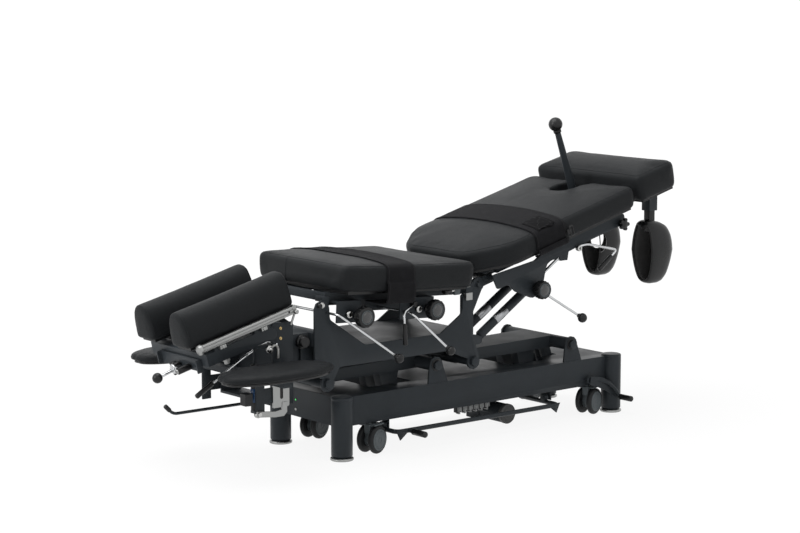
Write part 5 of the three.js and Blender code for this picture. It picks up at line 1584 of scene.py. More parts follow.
def grip_lever(name: str, body: str, path: Sequence[Point], share: float) -> None:
    """Makes a bright bent rod with a black grip on its last run, which starts at a share of that run.

    Args:
        name: The piece's name.
        body: The body that it rides on.
        path: The rod's corners.
        share: Where the grip starts on the last run.
    """
    bench, r, end = Bench(body), LEVER_RADIUS, Vector(path[-1])
    start = Vector(path[-2]).lerp(end, share)
    bench.fit(name + "_rod", Shape().rod([*path[:-1], tuple(start.lerp(end, 0.1))], r, 14), Finish.CHROME, body)
    long = (end - start).length
    grip = [(r + 1, 0), (r + 3, 0.5), (r + 4, 2), (r + 4, long - 5), (r + 3, long - 2), (r, long - 0.4), (0, long)]
    bench.fit(name + "_grip", Shape().turned(grip, start, end - start, 36), Finish.BLACK_PLASTIC)


class Studio:
    """The pale floor, the soft lights and the camera."""

    camera_place = (-4785.507, -5552.355, 1587.648)
    heading = 0.688
    fall = 0.142
    lens = 100.412
    white = {"Color": (1.0, 1.0, 1.0, 1.0), "Strength": 1.04}
    soft = {"Color": (1.0, 1.0, 1.0, 1.0), "Strength": 0.42}
    floor_share = 0.86
    floor_half = 9000
    shadow_reach = (0.8, 2.4)
    target = (0.0, 0.0, 0.4)

    def camera(self) -> None:
        """Puts the camera where the photograph was taken from."""
        data = bpy.data.cameras.new("studio camera")
        data.lens = self.lens
        data.sensor_width = 36.0
        data.clip_end = 60.0
        camera = bpy.data.objects.new("studio camera", data)
        camera.location = Vector(self.camera_place) * MM + Vector((MIDDLE_X, 0.0, 0.0))
        camera.rotation_euler = (math.pi / 2 - self.fall, 0.0, -self.heading)
        bpy.context.scene.collection.objects.link(camera)
        bpy.context.scene.camera = camera

    def backdrop_share(self, w: Wiring, share: object) -> NodeSocket:
        """Returns a share for rays that come from the camera, a gloss or a clear surface, and 0 for all others.

        Args:
            w: The world's wiring.
            share: The share, a number or a socket.

        Returns:
            The share's socket.
        """
        path = w.node("ShaderNodeLightPath")
        seen = w.math("MAXIMUM", path.outputs["Is Camera Ray"], path.outputs["Is Glossy Ray"])
        seen = w.math("MAXIMUM", seen, path.outputs["Is Transmission Ray"])
        return w.math("MULTIPLY", seen, share)

    def world(self) -> None:
        """Lights the scene evenly, and shows white behind it."""
        world = bpy.data.worlds.new("studio")
        bpy.context.scene.world = world
        world.use_nodes = True
        world.node_tree.nodes.clear()
        w = Wiring(world.node_tree)
        soft, white = (w.node("ShaderNodeBackground", inputs).outputs[0] for inputs in (self.soft, self.white))
        mixed = w.node("ShaderNodeMixShader", {0: self.backdrop_share(w, 1.0), 1: soft, 2: white})
        w.node("ShaderNodeOutputWorld", {0: mixed.outputs[0]})

    def floor(self) -> None:
        """Lays the floor, pale, with the table's soft shadow on it."""
        span = (-self.floor_half, self.floor_half)
        floor = new_object("floor", Shape().block(span, span, (-20.5, -0.5)).mesh("floor"))
        coat = Coating("pale floor")
        texture = coat.effect(EFFECTS.fine_texture, Scale=40.0, Mottle_Scale=1.5)
        coat.feed(Base_Color=coat.blend((0.86, 0.86, 0.86), (0.9, 0.9, 0.9), texture["Mottle"]))
        coat.feed(Roughness=0.9, Specular_IOR_Level=0.1)
        glow = coat.w.node("ShaderNodeEmission", self.white).outputs[0]
        away = coat.w.vector("LENGTH", coat.place).outputs["Value"]
        share = self.backdrop_share(coat.w, coat.w.ramp(away, *self.shadow_reach, self.floor_share, 1.0))
        mixed = coat.w.node("ShaderNodeMixShader", {0: share, 1: coat.shader.outputs[0], 2: glow})
        coat.w.put(coat.surface, mixed.outputs[0])
        floor.data.materials.append(coat.material)

    def light(self, name: str, place: Point, aim: Point, size: float, power: float) -> None:
        """Hangs a square soft light.

        Args:
            name: The light's name.
            place: Where it hangs, in metres.
            aim: Where it points.
            size: Its side, in metres.
            power: In watts.
        """
        data = bpy.data.lights.new(name, "AREA")
        data.size = size
        data.energy = power
        lamp = bpy.data.objects.new(name, data)
        lamp.location = place
        lamp.rotation_euler = (Vector(aim) - Vector(place)).to_track_quat("-Z", "Y").to_euler()
        bpy.context.scene.collection.objects.link(lamp)

    def build(self) -> None:
        """Makes the whole studio."""
        self.camera()
        self.world()
        self.floor()
        self.light("overhead softbox", (-0.6, 0.3, 3.2), self.target, 2.6, 68.0)
        self.light("head-end softbox", (-4.2, 0.6, 2.2), self.target, 2.0, 62.0)
        self.light("side fill", (0.6, -4.4, 2.0), (0.1, 0.0, 0.4), 2.4, 9.0)
        bpy.context.scene.view_settings.view_transform = "Standard"


class BaseUnit:
    """The base: cover, legs, lift motor, control box, foot bar and pedal."""

    leg_x, leg_y = 589.0, 161.0
    leg_radius = 34.0
    glide_radius = 37.0
    bar_ends = (-399, 304)
    lamp = (-600, 64, 158)
    screw = (-600, 64, 127)
    motor_face = (120, -152.5, 50)
    plug_line = ((-60.7, -105.5, 91), (61.8, -105.5, 91))
    plug_pitch = 24.5
    pivots = ((396, "foot"), (-204, "head"))

    def __init__(self) -> None:
        """Sets the bench."""
        self.bench = Bench("base")

    def legs(self) -> None:
        """Turns the four legs, with their caps and bright glides."""
        r, g = self.leg_radius, self.glide_radius
        post = [(30, 9.3), (30, 14), (r - 0.8, 14), (r, 14.8), (r, 190.5), (r - 0.5, 191), (r - 0.5, 192.2), (r, 192.7),
                (r, 198), (r - 1.2, 200.4), (r - 4, 201.8), (r - 9, 202), (0, 202)]
        disc = [(0, 0), (g - 2, 0), (g, 1.6), (g, 6.4), (g - 1.5, 8.2), (31, 9.3), (0, 9.3)]
        for end, x in (("head", -self.leg_x), ("foot", self.leg_x)):
            for side, sign in SIDES:
                name, place = f"{end}_{side}", (x, sign * self.leg_y, 0)
                leg, glide = (Shape().turned(profile, place, UP, 64) for profile in (post, disc))
                self.bench.fit(f"leg_post_{name}", leg, Finish.FRAME_PAINT, f"leg_{name}")
                self.bench.fit(f"leg_glide_{name}", glide, Finish.ALUMINIUM)

    def foot_bar(self) -> None:
        """Bends the foot bar, with its eyes, corner plates and rubber sleeve."""
        head, foot = self.bar_ends
        bar = Shape().rod([(head, -8, 68), (head, -200, 68), (foot, -200, 65), (foot, -8, 65)], 7.5, 24, 28)
        for x in (head, foot):
            bar.turned(hollow(4.6, 13, -8, 8, 0.8), (x, -130, 80), ALONG, 40)
        for x, lead in ((head, 1), (foot, -1)):
            corner = [(x + lead * reach, z) for reach, z in ((-4, 72), (12, 40), (44, 64), (44, 72))]
            bar.plate(corner, (-204, -200.5))
        bar.bar((-353, -200, 68), (-353, -232, 68), 6)
        bench = Bench("foot_bar")
        bench.fit("foot_bar_tube", bar, Finish.FRAME_PAINT, "foot_bar")
        sleeve = [(6.2, 0), (9.4, 0), (10, 1), (10, 8), (9.2, 9), (10, 10), (10, 60), (8.6, 62), (0, 62.4)]
        bench.fit("foot_bar_sleeve", Shape().turned(sleeve, (-353, -226, 68), (0, -1, 0), 36), Finish.BLACK_PLASTIC)

    def castor_pedal(self) -> None:
        """Bends the castor pedal, with its eyes, web and rubber sleeve."""
        bench = Bench("castor_pedal")
        arm = Shape().rod([(466, -181, 127), (520, -196, 120), (561, -204.5, 96), (590, -204.5, 57)], 5.5, 40, 24)
        arm.turned(hollow(5.4, 13, -5, 5, 0.6, 0.8), (466, -181, 127), count=40)
        arm.turned([(0, 0), (6, 0), (6, 40)], (590, -200, 57), (0, -1, 0), 28)
        bench.fit("castor_pedal_arm", arm, Finish.FRAME_PAINT, "castor_pedal")
        web = [(462, 138), (480, 139), (520, 130), (560, 110), (592, 66), (584, 52), (544, 78), (500, 98), (458, 112)]
        bench.fit("castor_pedal_web", Shape().plate(web, (-194, -189)), Finish.FRAME_PAINT, edge=0.6)
        tread = [(6.1, 0), (9, 0), (9.8, 1), (9.8, 52), (8.4, 54), (0, 54.5)]
        bench.fit("castor_pedal_sleeve", Shape().turned(tread, (590, -208, 57), (0, -1, 0), 36), Finish.BLACK_PLASTIC)

    def fittings(self) -> None:
        """Makes the lamp, the cover's screw, the motor's cap, the plugs and the pivots' washers."""
        lamp = [(0, -2.2), (1.6, -2), (2.8, -1.2), (3.2, 0), (3.2, 2), (0, 2)]
        self.bench.fit("status_lamp", Shape().turned(lamp, self.lamp, ALONG, 24), Finish.LAMP)
        ring = [(3.3, -0.4), (4.2, -1), (5, -0.6), (5, 1), (3.3, 1)]
        self.bench.fit("lamp_ring", Shape().turned(ring, self.lamp, ALONG, 28), Finish.BLACK_PLASTIC)
        screw = [(0, -0.6), (1.6, -0.6), (1.8, -1.6), (3.4, -1.9), (4, -1.2), (4.2, 0), (4.2, 1), (0, 1)]
        self.bench.fit("cover_screw", Shape().turned(screw, self.screw, ALONG, 24), Finish.ZINC)
        cap = [(0, 0), (20, 0), (21, 1.2), (28, 1.2), (29.5, 0), (31.5, 0), (33.5, 2), (33.5, 14), (0, 14)]
        motor = Shape().turned(cap, self.motor_face, count=64)
        self.bench.fit("lift_motor_cap", motor, Finish.MOTOR_GREY, edge=0.4, angle=35)
        plug = Shape().block((-9, 9), (-9, 9), (-15, 14)).block((-6, 6), (-11, -8), (-10, 4))
        plug.block((-3, 3), (-8, 8), (-24, -14))
        self.bench.repeat("control_box_plugs", REPEATS.along_line, [self.plug_line], plug, Finish.PORT,
                          Pitch=self.plug_pitch * MM)
        for x, end in self.pivots:
            for side, sign in SIDES:
                washer = Shape().turned(hollow(11.6, 20, 0, 2.4, 0.5, 0.6), (x, sign * 163, 256), (0, sign, 0), 40)
                self.bench.fit(f"base_pivot_washer_{side}_{end}", washer, Finish.BLACK_PLASTIC)

    def build(self) -> None:
        """Makes the base's pieces."""
        self.legs()
        dressed("base_cover", 1.2)
        dressed("control_box", finish=Finish.BLACK_PLASTIC)
        dressed("actuator_body")
        dressed("actuator_rod", finish=Finish.CHROME)
        dressed("castor_carriage")
        self.foot_bar()
        self.castor_pedal()
        self.fittings()


class CastorSet:
    """Four twin castors, each with a grey hood between two tyres."""

    tyre_radius = 45.0
    centre = 47.5
    toe = 17.0
    spacing = 43.0
    places = (("head_near", -461.0, -150.0), ("head_far", -468.0, 140.0),
              ("foot_near", 494.0, -150.0), ("foot_far", 494.0, 150.0))

    def build(self) -> None:
        """Makes wheels and hoods."""
        r = self.tyre_radius
        flank = [(24, 9), (r - 9, 9), (r - 4, 8.2), (r - 1.2, 5.6), (r, 2.5)]
        tyre = [(radius, -along) for radius, along in flank] + flank[::-1]
        disc = [(0, 10.6), (6, 10.6), (7, 9.6), (9, 9.6), (10, 10.8), (25.5, 11.0), (26.5, 9.8), (28, 9.8), (29, 11.0),
                (33.5, 10.6), (35, 8.4), (35, 4), (0, 4)]
        for name, x, y in self.places:
            wheels, discs = Shape(), Shape()
            for _, sign in SIDES:
                middle = (0, sign * self.spacing / 2, 0)
                wheels.turned(tyre, middle, count=56)
                discs.turned(disc, middle, (0, sign, 0), 56)
            place = Matrix.Translation((x, y, self.centre)) @ Matrix.Rotation(math.radians(self.toe), 4, "Z")
            bench = Bench(f"castor_roll_{name}")
            bench.fit(f"castor_tyres_{name}", wheels.moved(place), Finish.CASTOR_TYRE, f"castor_wheels_{name}")
            bench.fit(f"castor_discs_{name}", discs.moved(place), Finish.CASTOR_GREY, edge=0.4, angle=30)
            dressed(f"castor_hood_{name}", 1.5, Finish.CASTOR_GREY)


class LiftAndFrame:
    """The two lift arms and the upper frame that they carry."""

    damper_y, damper_z = -188, 497
    lever_bushes = ((-584, 465), (-304, 453))

    def build(self) -> None:
        """Makes the arms and the frame, with its bolts, clamps and damper."""
        for node, edge in (("lift_arm_foot", 1.5), ("lift_arm_head", 1.5), ("upper_frame", 1.0)):
            dressed(node, edge)
        bench = Bench("upper_frame")
        bolt = [(0, 0), (6, 0), (7.4, 1.2), (7.4, 6), (10, 6.2), (10, 8), (0, 8)]
        hexagon = Shape().turned(bolt, (-668, -173, 498), count=6)
        bench.fit("upright_bolt", hexagon, Finish.ZINC, edge=0.4, angle=20)
        bench.fit("upright_pin", Shape().bar((-682, -165, 498), (-682, -178, 498), 7, 28), Finish.BLACK_PLASTIC)
        for name, sign in SIDES:
            low, high = sorted((sign * 158, sign * 174.5))
            clamp = Shape().block((-86.5, -59.5), (low, high), (455.5, 480))
            clamp.block((-82, -66), (low + 3, high - 3), (480, 499.5))
            bench.fit(f"clamp_block_{name}", clamp, Finish.ALUMINIUM, edge=1.2)
        y, z = self.damper_y, self.damper_z
        damper = [(0, 0), (9, 0), (11, 2), (11, 24), (8, 25), (8, 30), (0, 30)]
        bench.fit("damper", Shape().turned(damper, (-196, y, z), ALONG, 36), Finish.BLACK_PLASTIC)
        bench.fit("damper_rod", Shape().bar((-166, y, z), (-128, y, z), 4.5, 24), Finish.ZINC)
        bench.fit("damper_block", Shape().block((-152, -130), (-194, -180), (482, 508)), Finish.CASTOR_GREY, edge=1)
        bush = [(4.3, 0), (8, 0), (9, 1.2), (11, 1.2), (11, 8), (9, 9), (9, 14), (4.3, 14)]
        for x, z in self.lever_bushes:
            bench.fit(f"lever_bush_{-x}", Shape().turned(bush, (x, -200, z), count=36), Finish.ZINC)


class HeadEnd:
    """The tower, the arm rests and their fittings."""

    pad_x = (-1095.0, -695.0)
    pad_half = 93.0
    pad_y = 236.0
    pad_levels = ((-9, 317), (-4, 318), (-2, 323), (-2, 329), (-5, 334), (-10, 337.5),
                  (-18, 339), (-34, 340), (-52, 340.5), (-70, 341))
    board_levels = ((-16, 308), (-14, 309), (-14, 317.5))
    screw_heights = (438.6, 407.4)
    plate_y = (-151.0, -145.8)
    spring_foot = (-899, -128, 194)
    handle_pivot = (-832, 0, 188)

    def oval(self, sign: int, grow: float, z: float) -> list[tuple[float, float, float]]:
        """Returns an oval ring of a pad or its board.

        Args:
            sign: The side of the table.
            grow: How far outside the pad's size.
            z: Its height.

        Returns:
            The ring's points.
        """
        middle, reach = sum(self.pad_x) / 2, (self.pad_x[1] - self.pad_x[0]) / 2
        ring = []
        for t in (2 * math.pi * k / 96 for k in range(96)):
            c, s = math.cos(t), math.sin(t)
            square = abs(c * s) * 0.12 + 1
            y = sign * self.pad_y + (self.pad_half + grow) * s * square
            ring.append((middle + (reach + grow) * c * square, y, z))
        return ring

    def pads(self) -> None:
        """Makes the two arm rest pads on their boards."""
        bench = Bench("arm_rest")
        for name, sign in SIDES:
            form = Shape().rings([self.oval(sign, grow, z) for grow, z in self.pad_levels])
            padding = Padding(voxel=4.5, pressure=3.0, cap=2.2)
            bench.upholster(f"arm_rest_cover_{name}", form, f"arm_rest_pad_{name}", 321, 0.9, padding)
            board = Shape().rings([self.oval(sign, grow, z) for grow, z in self.board_levels])
            bench.fit(f"arm_rest_board_{name}", board, Finish.BLACK_PLASTIC)

    def tower_fittings(self) -> None:
        """Makes the tower's screws, the boom's plates and bush, and the air hose with its socket."""
        bench = Bench("upper_frame")
        screw = [(0, 0.6), (1.5, 0.6), (1.9, -1.4), (4.2, -1.6), (5, -0.4), (5, 1), (0, 1)]
        for z in self.screw_heights:
            bench.fit(f"tower_screw_{int(z)}", Shape().turned(screw, (-808, -140, z), count=28), Finish.BRASS)
        bench.fit("boom_web", Shape().block((-724, -600), (-130, -124), (300, 368)), Finish.FRAME_PAINT, edge=1)
        bench.fit("boom_gusset", Shape().block((-767, -706), (-120, 120), (300, 372.5)), Finish.FRAME_PAINT, edge=2)
        bush = [(5, 0), (15, 0), (18, 3), (18, 12), (22, 14), (22, 24), (18, 26), (5, 26)]
        boom_bush = Shape().turned(bush, (-727, -159.5, 388))
        bench.fit("boom_bush", boom_bush, Finish.BLACK_PLASTIC, edge=0.6, angle=30)
        hose = Shape().rod([(-846, -146, 384), (-834, -146, 392), (-821, -146, 382), (-822, -146, 348)], 3.2, 16, 20)
        bench.fit("air_hose", hose, Finish.HOSE)
        socket = [(0, -4), (5, -4), (6, -3), (6, 0), (11, 0), (12, 1), (12, 6), (0, 6)]
        bench.fit("hose_socket", Shape().turned(socket, (-852, -146, 379), count=32), Finish.ZINC)

    def arm_rest_fittings(self) -> None:
        """Makes the slotted plate, the lower bracket and the gas spring of the arm rest."""
        bench = Bench("arm_rest")
        low, high = self.plate_y
        plate = arc_corners([(-846, 196), (-784, 196), (-784, 292), (-846, 292)], [4, 8, 2, 2], 15)
        bench.fit("slotted_plate", Shape().plate(plate, (low, high)), Finish.ALUMINIUM, edge=0.7)
        slot = arc_corners([(-819.5, 222), (-808.5, 222), (-808.5, 262), (-819.5, 262)], [5] * 4, 20)
        bench.fit("slot_shadow", Shape().plate(slot, (low - 0.3, low + 0.4)), Finish.BLACK_PLASTIC)
        bracket = [(-908, 176), (-838, 168), (-806, 168), (-794, 180), (-794, 212), (-812, 212),
                   (-814, 190), (-840, 186), (-906, 194)]
        bench.fit("lower_bracket", Shape().plate(bracket, (low - 2, high - 1)), Finish.ALUMINIUM, edge=0.8)
        bolt = Shape().turned([(0, 0), (6.5, 0), (8, 1.4), (8, 6), (0, 6)], (-898, -158, 185), count=6)
        bench.fit("lower_bracket_bolt", bolt, Finish.ZINC, edge=0.4, angle=20)
        tube = [(4.6, 0), (11.2, 0.2), (11.8, 1.2), (11.8, 140.2), (11, 142), (4.6, 142)]
        bench.fit("gas_spring", Shape().turned(tube, self.spring_foot, UP, 40), Finish.BLACK_PLASTIC, "arm_rest_spring")
        band = [(11.9, 26), (12.2, 26.2), (12.2, 67.8), (11.9, 68)]
        bench.fit("gas_spring_band", Shape().turned(band, self.spring_foot, UP, 40), Finish.BLUE_BAND)
        eye = [(0, 0), (7, 0), (9, 2), (9, 12), (6, 13), (6, 18)]
        bench.fit("gas_spring_eye", Shape().turned(eye, (-899, -150, 181), count=28), Finish.ZINC)
        stop = Shape().block((-948, -921), (-150, -120), (214, 252))
        bench.fit("arm_rest_stop", stop, Finish.BLACK_PLASTIC, edge=2.0)

    def height_lever(self) -> None:
        """Makes the bent height lever with its tip."""
        bench = Bench("arm_rest_handle")
        lever = Shape().rod([self.handle_pivot, (-1111, 0, 190), (-1138, 0, 217)], 4.8, 16, 24)
        lever.turned(hollow(3.2, 9, -6, 6, 0.6), self.handle_pivot, count=32)
        bench.fit("height_lever", lever, Finish.FRAME_PAINT, "arm_rest_handle")
        tip = [(4.9, 0), (6.4, 0.4), (7, 1.6), (7, 22), (5.6, 24), (0, 24.4)]
        start = Vector((-1122.6, 0, 201.6))
        way = Vector((-1123.3, 0, 202.3)) - start
        bench.fit("height_lever_tip", Shape().turned(tip, start, way, 28), Finish.BLACK_PLASTIC)

    def build(self) -> None:
        """Makes the head end's pieces."""
        self.pads()
        dressed("head_tower", 0.9)
        dressed("arm_rest_carriage", 0.9)
        self.tower_fittings()
        self.arm_rest_fittings()
        self.height_lever()


class HeadSection:
    """The tilting head section: tray, bolsters, rail, crosshead and levers."""

    x = (-294.0, 111.0)
    y = 95.0
    half = 50.0
    z = (55.0, 168.0)
    end_ease = ((1.5, 15), (3, 9), (7, 4.5), (14, 2.6), (30, 2.2))
    lever_hub = (-251, 0, -31)
    lever_ball = (-336, 0, -38)
    lobes = (-265, 0, -31)
    rail_end = (-270, -157, 49)
    grip_end = (-300, -60, -22)

    def __init__(self) -> None:
        """Sets the benches."""
        self.bench = Bench("head_section", HEAD_SEAT)
        self.clamp = Bench("head_ball_lever", HEAD_SEAT)

    def profile(self, grow: float) -> Outline:
        """Returns the bolster's outline across its length, drawn in by a distance.

        Args:
            grow: The distance.

        Returns:
            The outline.
        """
        w, (low, high) = self.half - grow, self.z
        lip = low + grow * 0.3
        points = [(9 - w, lip), (w - 9, lip), (w - 2, lip + 4), (w, low + 12)]
        for turn in (math.pi * k / 32 for k in range(1, 32)):
            arch = (high - low - 16 - grow) * math.sin(turn) ** 0.86
            points.append((w * signed_power(math.cos(turn), 0.74), low + 16 + arch))
        return points + [(-w, low + 12), (2 - w, lip + 4)]

    def bolsters(self) -> None:
        """Makes the two long bolsters on their boards, with a seam at each end."""
        x0, x1 = self.x
        stations = [(x0 + step, grow) for step, grow in self.end_ease]
        stations += [(x1 - step, grow) for step, grow in self.end_ease[::-1]]
        for name, sign in SIDES:
            bench, y = Bench(f"head_bolster_{name}", HEAD_SEAT), sign * self.y
            form = Shape().rings([[(at, y + u * -sign, v) for u, v in self.profile(grow)] for at, grow in stations])
            padding = Padding(voxel=5.0, pressure=4.0, cap=3.0)
            pad = bench.upholster(f"head_bolster_cover_{name}", form, f"head_bolster_{name}", 60, 0.85, padding)
            for end, at in (("head", x0 + 12), ("foot", x1 - 12)):
                bench.seam_round(f"bolster_seam_{name}_{end}", pad, (at, y, 96), 140, (-24, 204, 90), True)
            feet = Shape().block((x0 + 16, x1 - 16), (y - 34, y + 34), (47, 58))
            for span in ((-212, -188), (-62, -38)):
                feet.block(span, (y - 14, y + 14), (30, 48))
            bench.fit(f"head_bolster_board_{name}", feet, Finish.BLACK_PLASTIC, edge=0.6)

    def rail(self) -> None:
        """Draws the ribbed rail, its end disc, clips, screws and the bracket at its far end."""
        ribs = [(-163.5, 39), (-162, 37), (-151.5, 37), (-150.3, 38),
                (-150.3, 60), (-151.5, 61), (-162, 61), (-163.5, 59)]
        for top in (56, 47):
            ribs += [(-163.5, top), (-161, top - 0.6), (-161, top - 3.4), (-163.5, top - 4)]
        self.bench.fit("ribbed_rail", Shape().plate(ribs, (-259, 86), "x"), Finish.ALUMINIUM, "head_rail", edge=0.3)
        disc = [(0, -1), (13, -1), (15.4, 0.6), (16, 2), (16, 9.5), (14.6, 11.5), (0, 11.5)]
        self.bench.fit("rail_end_disc", Shape().turned(disc, self.rail_end, ALONG), Finish.ALUMINIUM)
        for x in (-186, -30):
            clip = Shape().block((x - 11, x + 11), (-164, -151), (26, 37.5))
            clip.turned([(0, -3), (5, -3), (6, -1.5), (6, 1)], (x, -164, 32), count=24)
            self.bench.fit(f"rail_clip_{-x}", clip, Finish.ALUMINIUM, edge=1.0)
        # a black disc painted as the shade inside the rail's hole
        hole = Shape().turned([(0, -0.4), (3.4, -0.4), (3.4, 1)], (70, -163.5, 49), count=24)
        self.bench.fit("rail_hole", hole, Finish.BLACK_PLASTIC)
        bracket = Shape().block((86.5, 100), (-162, -152), (34, 62))
        bracket.turned([(0, 0), (6, 0), (7, 1.4), (7, 9)], (94, -171, 42), count=28)
        bracket.bar((92, -157, 36), (70, -157, 6), 3.4, 24)
        self.bench.fit("rail_bracket", bracket, Finish.ALUMINIUM, edge=0.8)

    def tray_fittings(self) -> None:
        """Makes the tilt fitting under the tray and the crosshead's grip."""
        collar = [(0, 0), (8, 0), (9, 1.6), (9, 9), (12, 10), (12, 17), (9, 18), (9, 27), (0, 27)]
        fitting = Shape().turned(collar, (-141, -92, -50), UP, 40)
        self.bench.fit("tilt_fitting", fitting, Finish.ALUMINIUM, edge=0.5, angle=30)
        self.bench.fit("tilt_fitting_plate", Shape().block((-160, -120), (-112, -70), (-26, -18)), Finish.ZINC, edge=1)
        grip = [(0, 1), (8, 1), (10.5, 3), (10.5, 46), (9, 48), (0, 48)]
        self.bench.fit("crosshead_grip", Shape().turned(grip, self.grip_end, ALONG, 40), Finish.BLACK_PLASTIC)
        end = [(0, -3), (5, -3), (7.4, -2), (7.8, 0), (7.8, 2)]
        self.bench.fit("crosshead_grip_end", Shape().turned(end, self.grip_end, ALONG, 36), Finish.ALUMINIUM)

    def ball_lever(self) -> None:
        """Makes the ball lever with its hub."""
        hub = [(10, 0), (15, 1), (17, 4), (17, 22), (15, 26), (10, 28), (0, 28)]
        lever = Shape().turned(hub, self.lever_hub, (-1, 0, 0)).bar((-252, 0, -34), self.lever_ball, 5)
        self.clamp.fit("head_ball_lever_rod", lever, Finish.CHROME, "head_ball_lever")
        self.clamp.fit("head_ball_lever_ball", Shape().ball(self.lever_ball, 16), Finish.BLACK_PLASTIC)

    def clamp_and_release(self) -> None:
        """Makes the clamp knob's lobes and the bent release lever with its grip."""
        lobe = Shape().turned([(4, -11), (6.4, -10), (7, -8), (7, 8), (6.4, 10), (4, 11)], (0, 0, 0), ALONG, 20)
        lobe.moved(Matrix.Rotation(math.pi / 2, 4, "Y"))
        turn = Matrix.Rotation(math.radians(HEAD_SEAT.slope + 90), 4, "Y").to_euler()
        self.clamp.repeat("clamp_knob_lobes", REPEATS.round_axis, [[self.lobes]], lobe, Finish.BLACK_PLASTIC,
                          Count=5, Radius=14.5 * MM, Turn=turn)
        bench = Bench("head_release_lever")
        pivot, knee, end = (-826, -100, 392), (-1033, -100, 291), (-1094, -100, 255)
        rod = Shape().rod([pivot, (-899, -100, 366), knee, (-1050, -100, 281)], 4.4, 40, 24)
        rod.bar((-826, -98, 392), (-826, -146, 392), 3.6, 24)
        bench.fit("release_lever_rod", rod, Finish.CHROME, "head_release_lever")
        grip = [(5, 0), (7, 0.4), (8, 1.8), (8, 66), (7, 69), (4, 70.6), (0, 71)]
        grip_way = Vector(end) - Vector(knee)
        bench.fit("release_lever_grip", Shape().turned(grip, knee, grip_way, 36), Finish.BLACK_PLASTIC)

    def build(self) -> None:
        """Makes the head section's pieces."""
        self.bolsters()
        dressed("head_frame", 0.8)
        self.rail()
        self.tray_fittings()
        dressed("head_crosshead", 0.6)
        self.ball_lever()
        self.clamp_and_release()


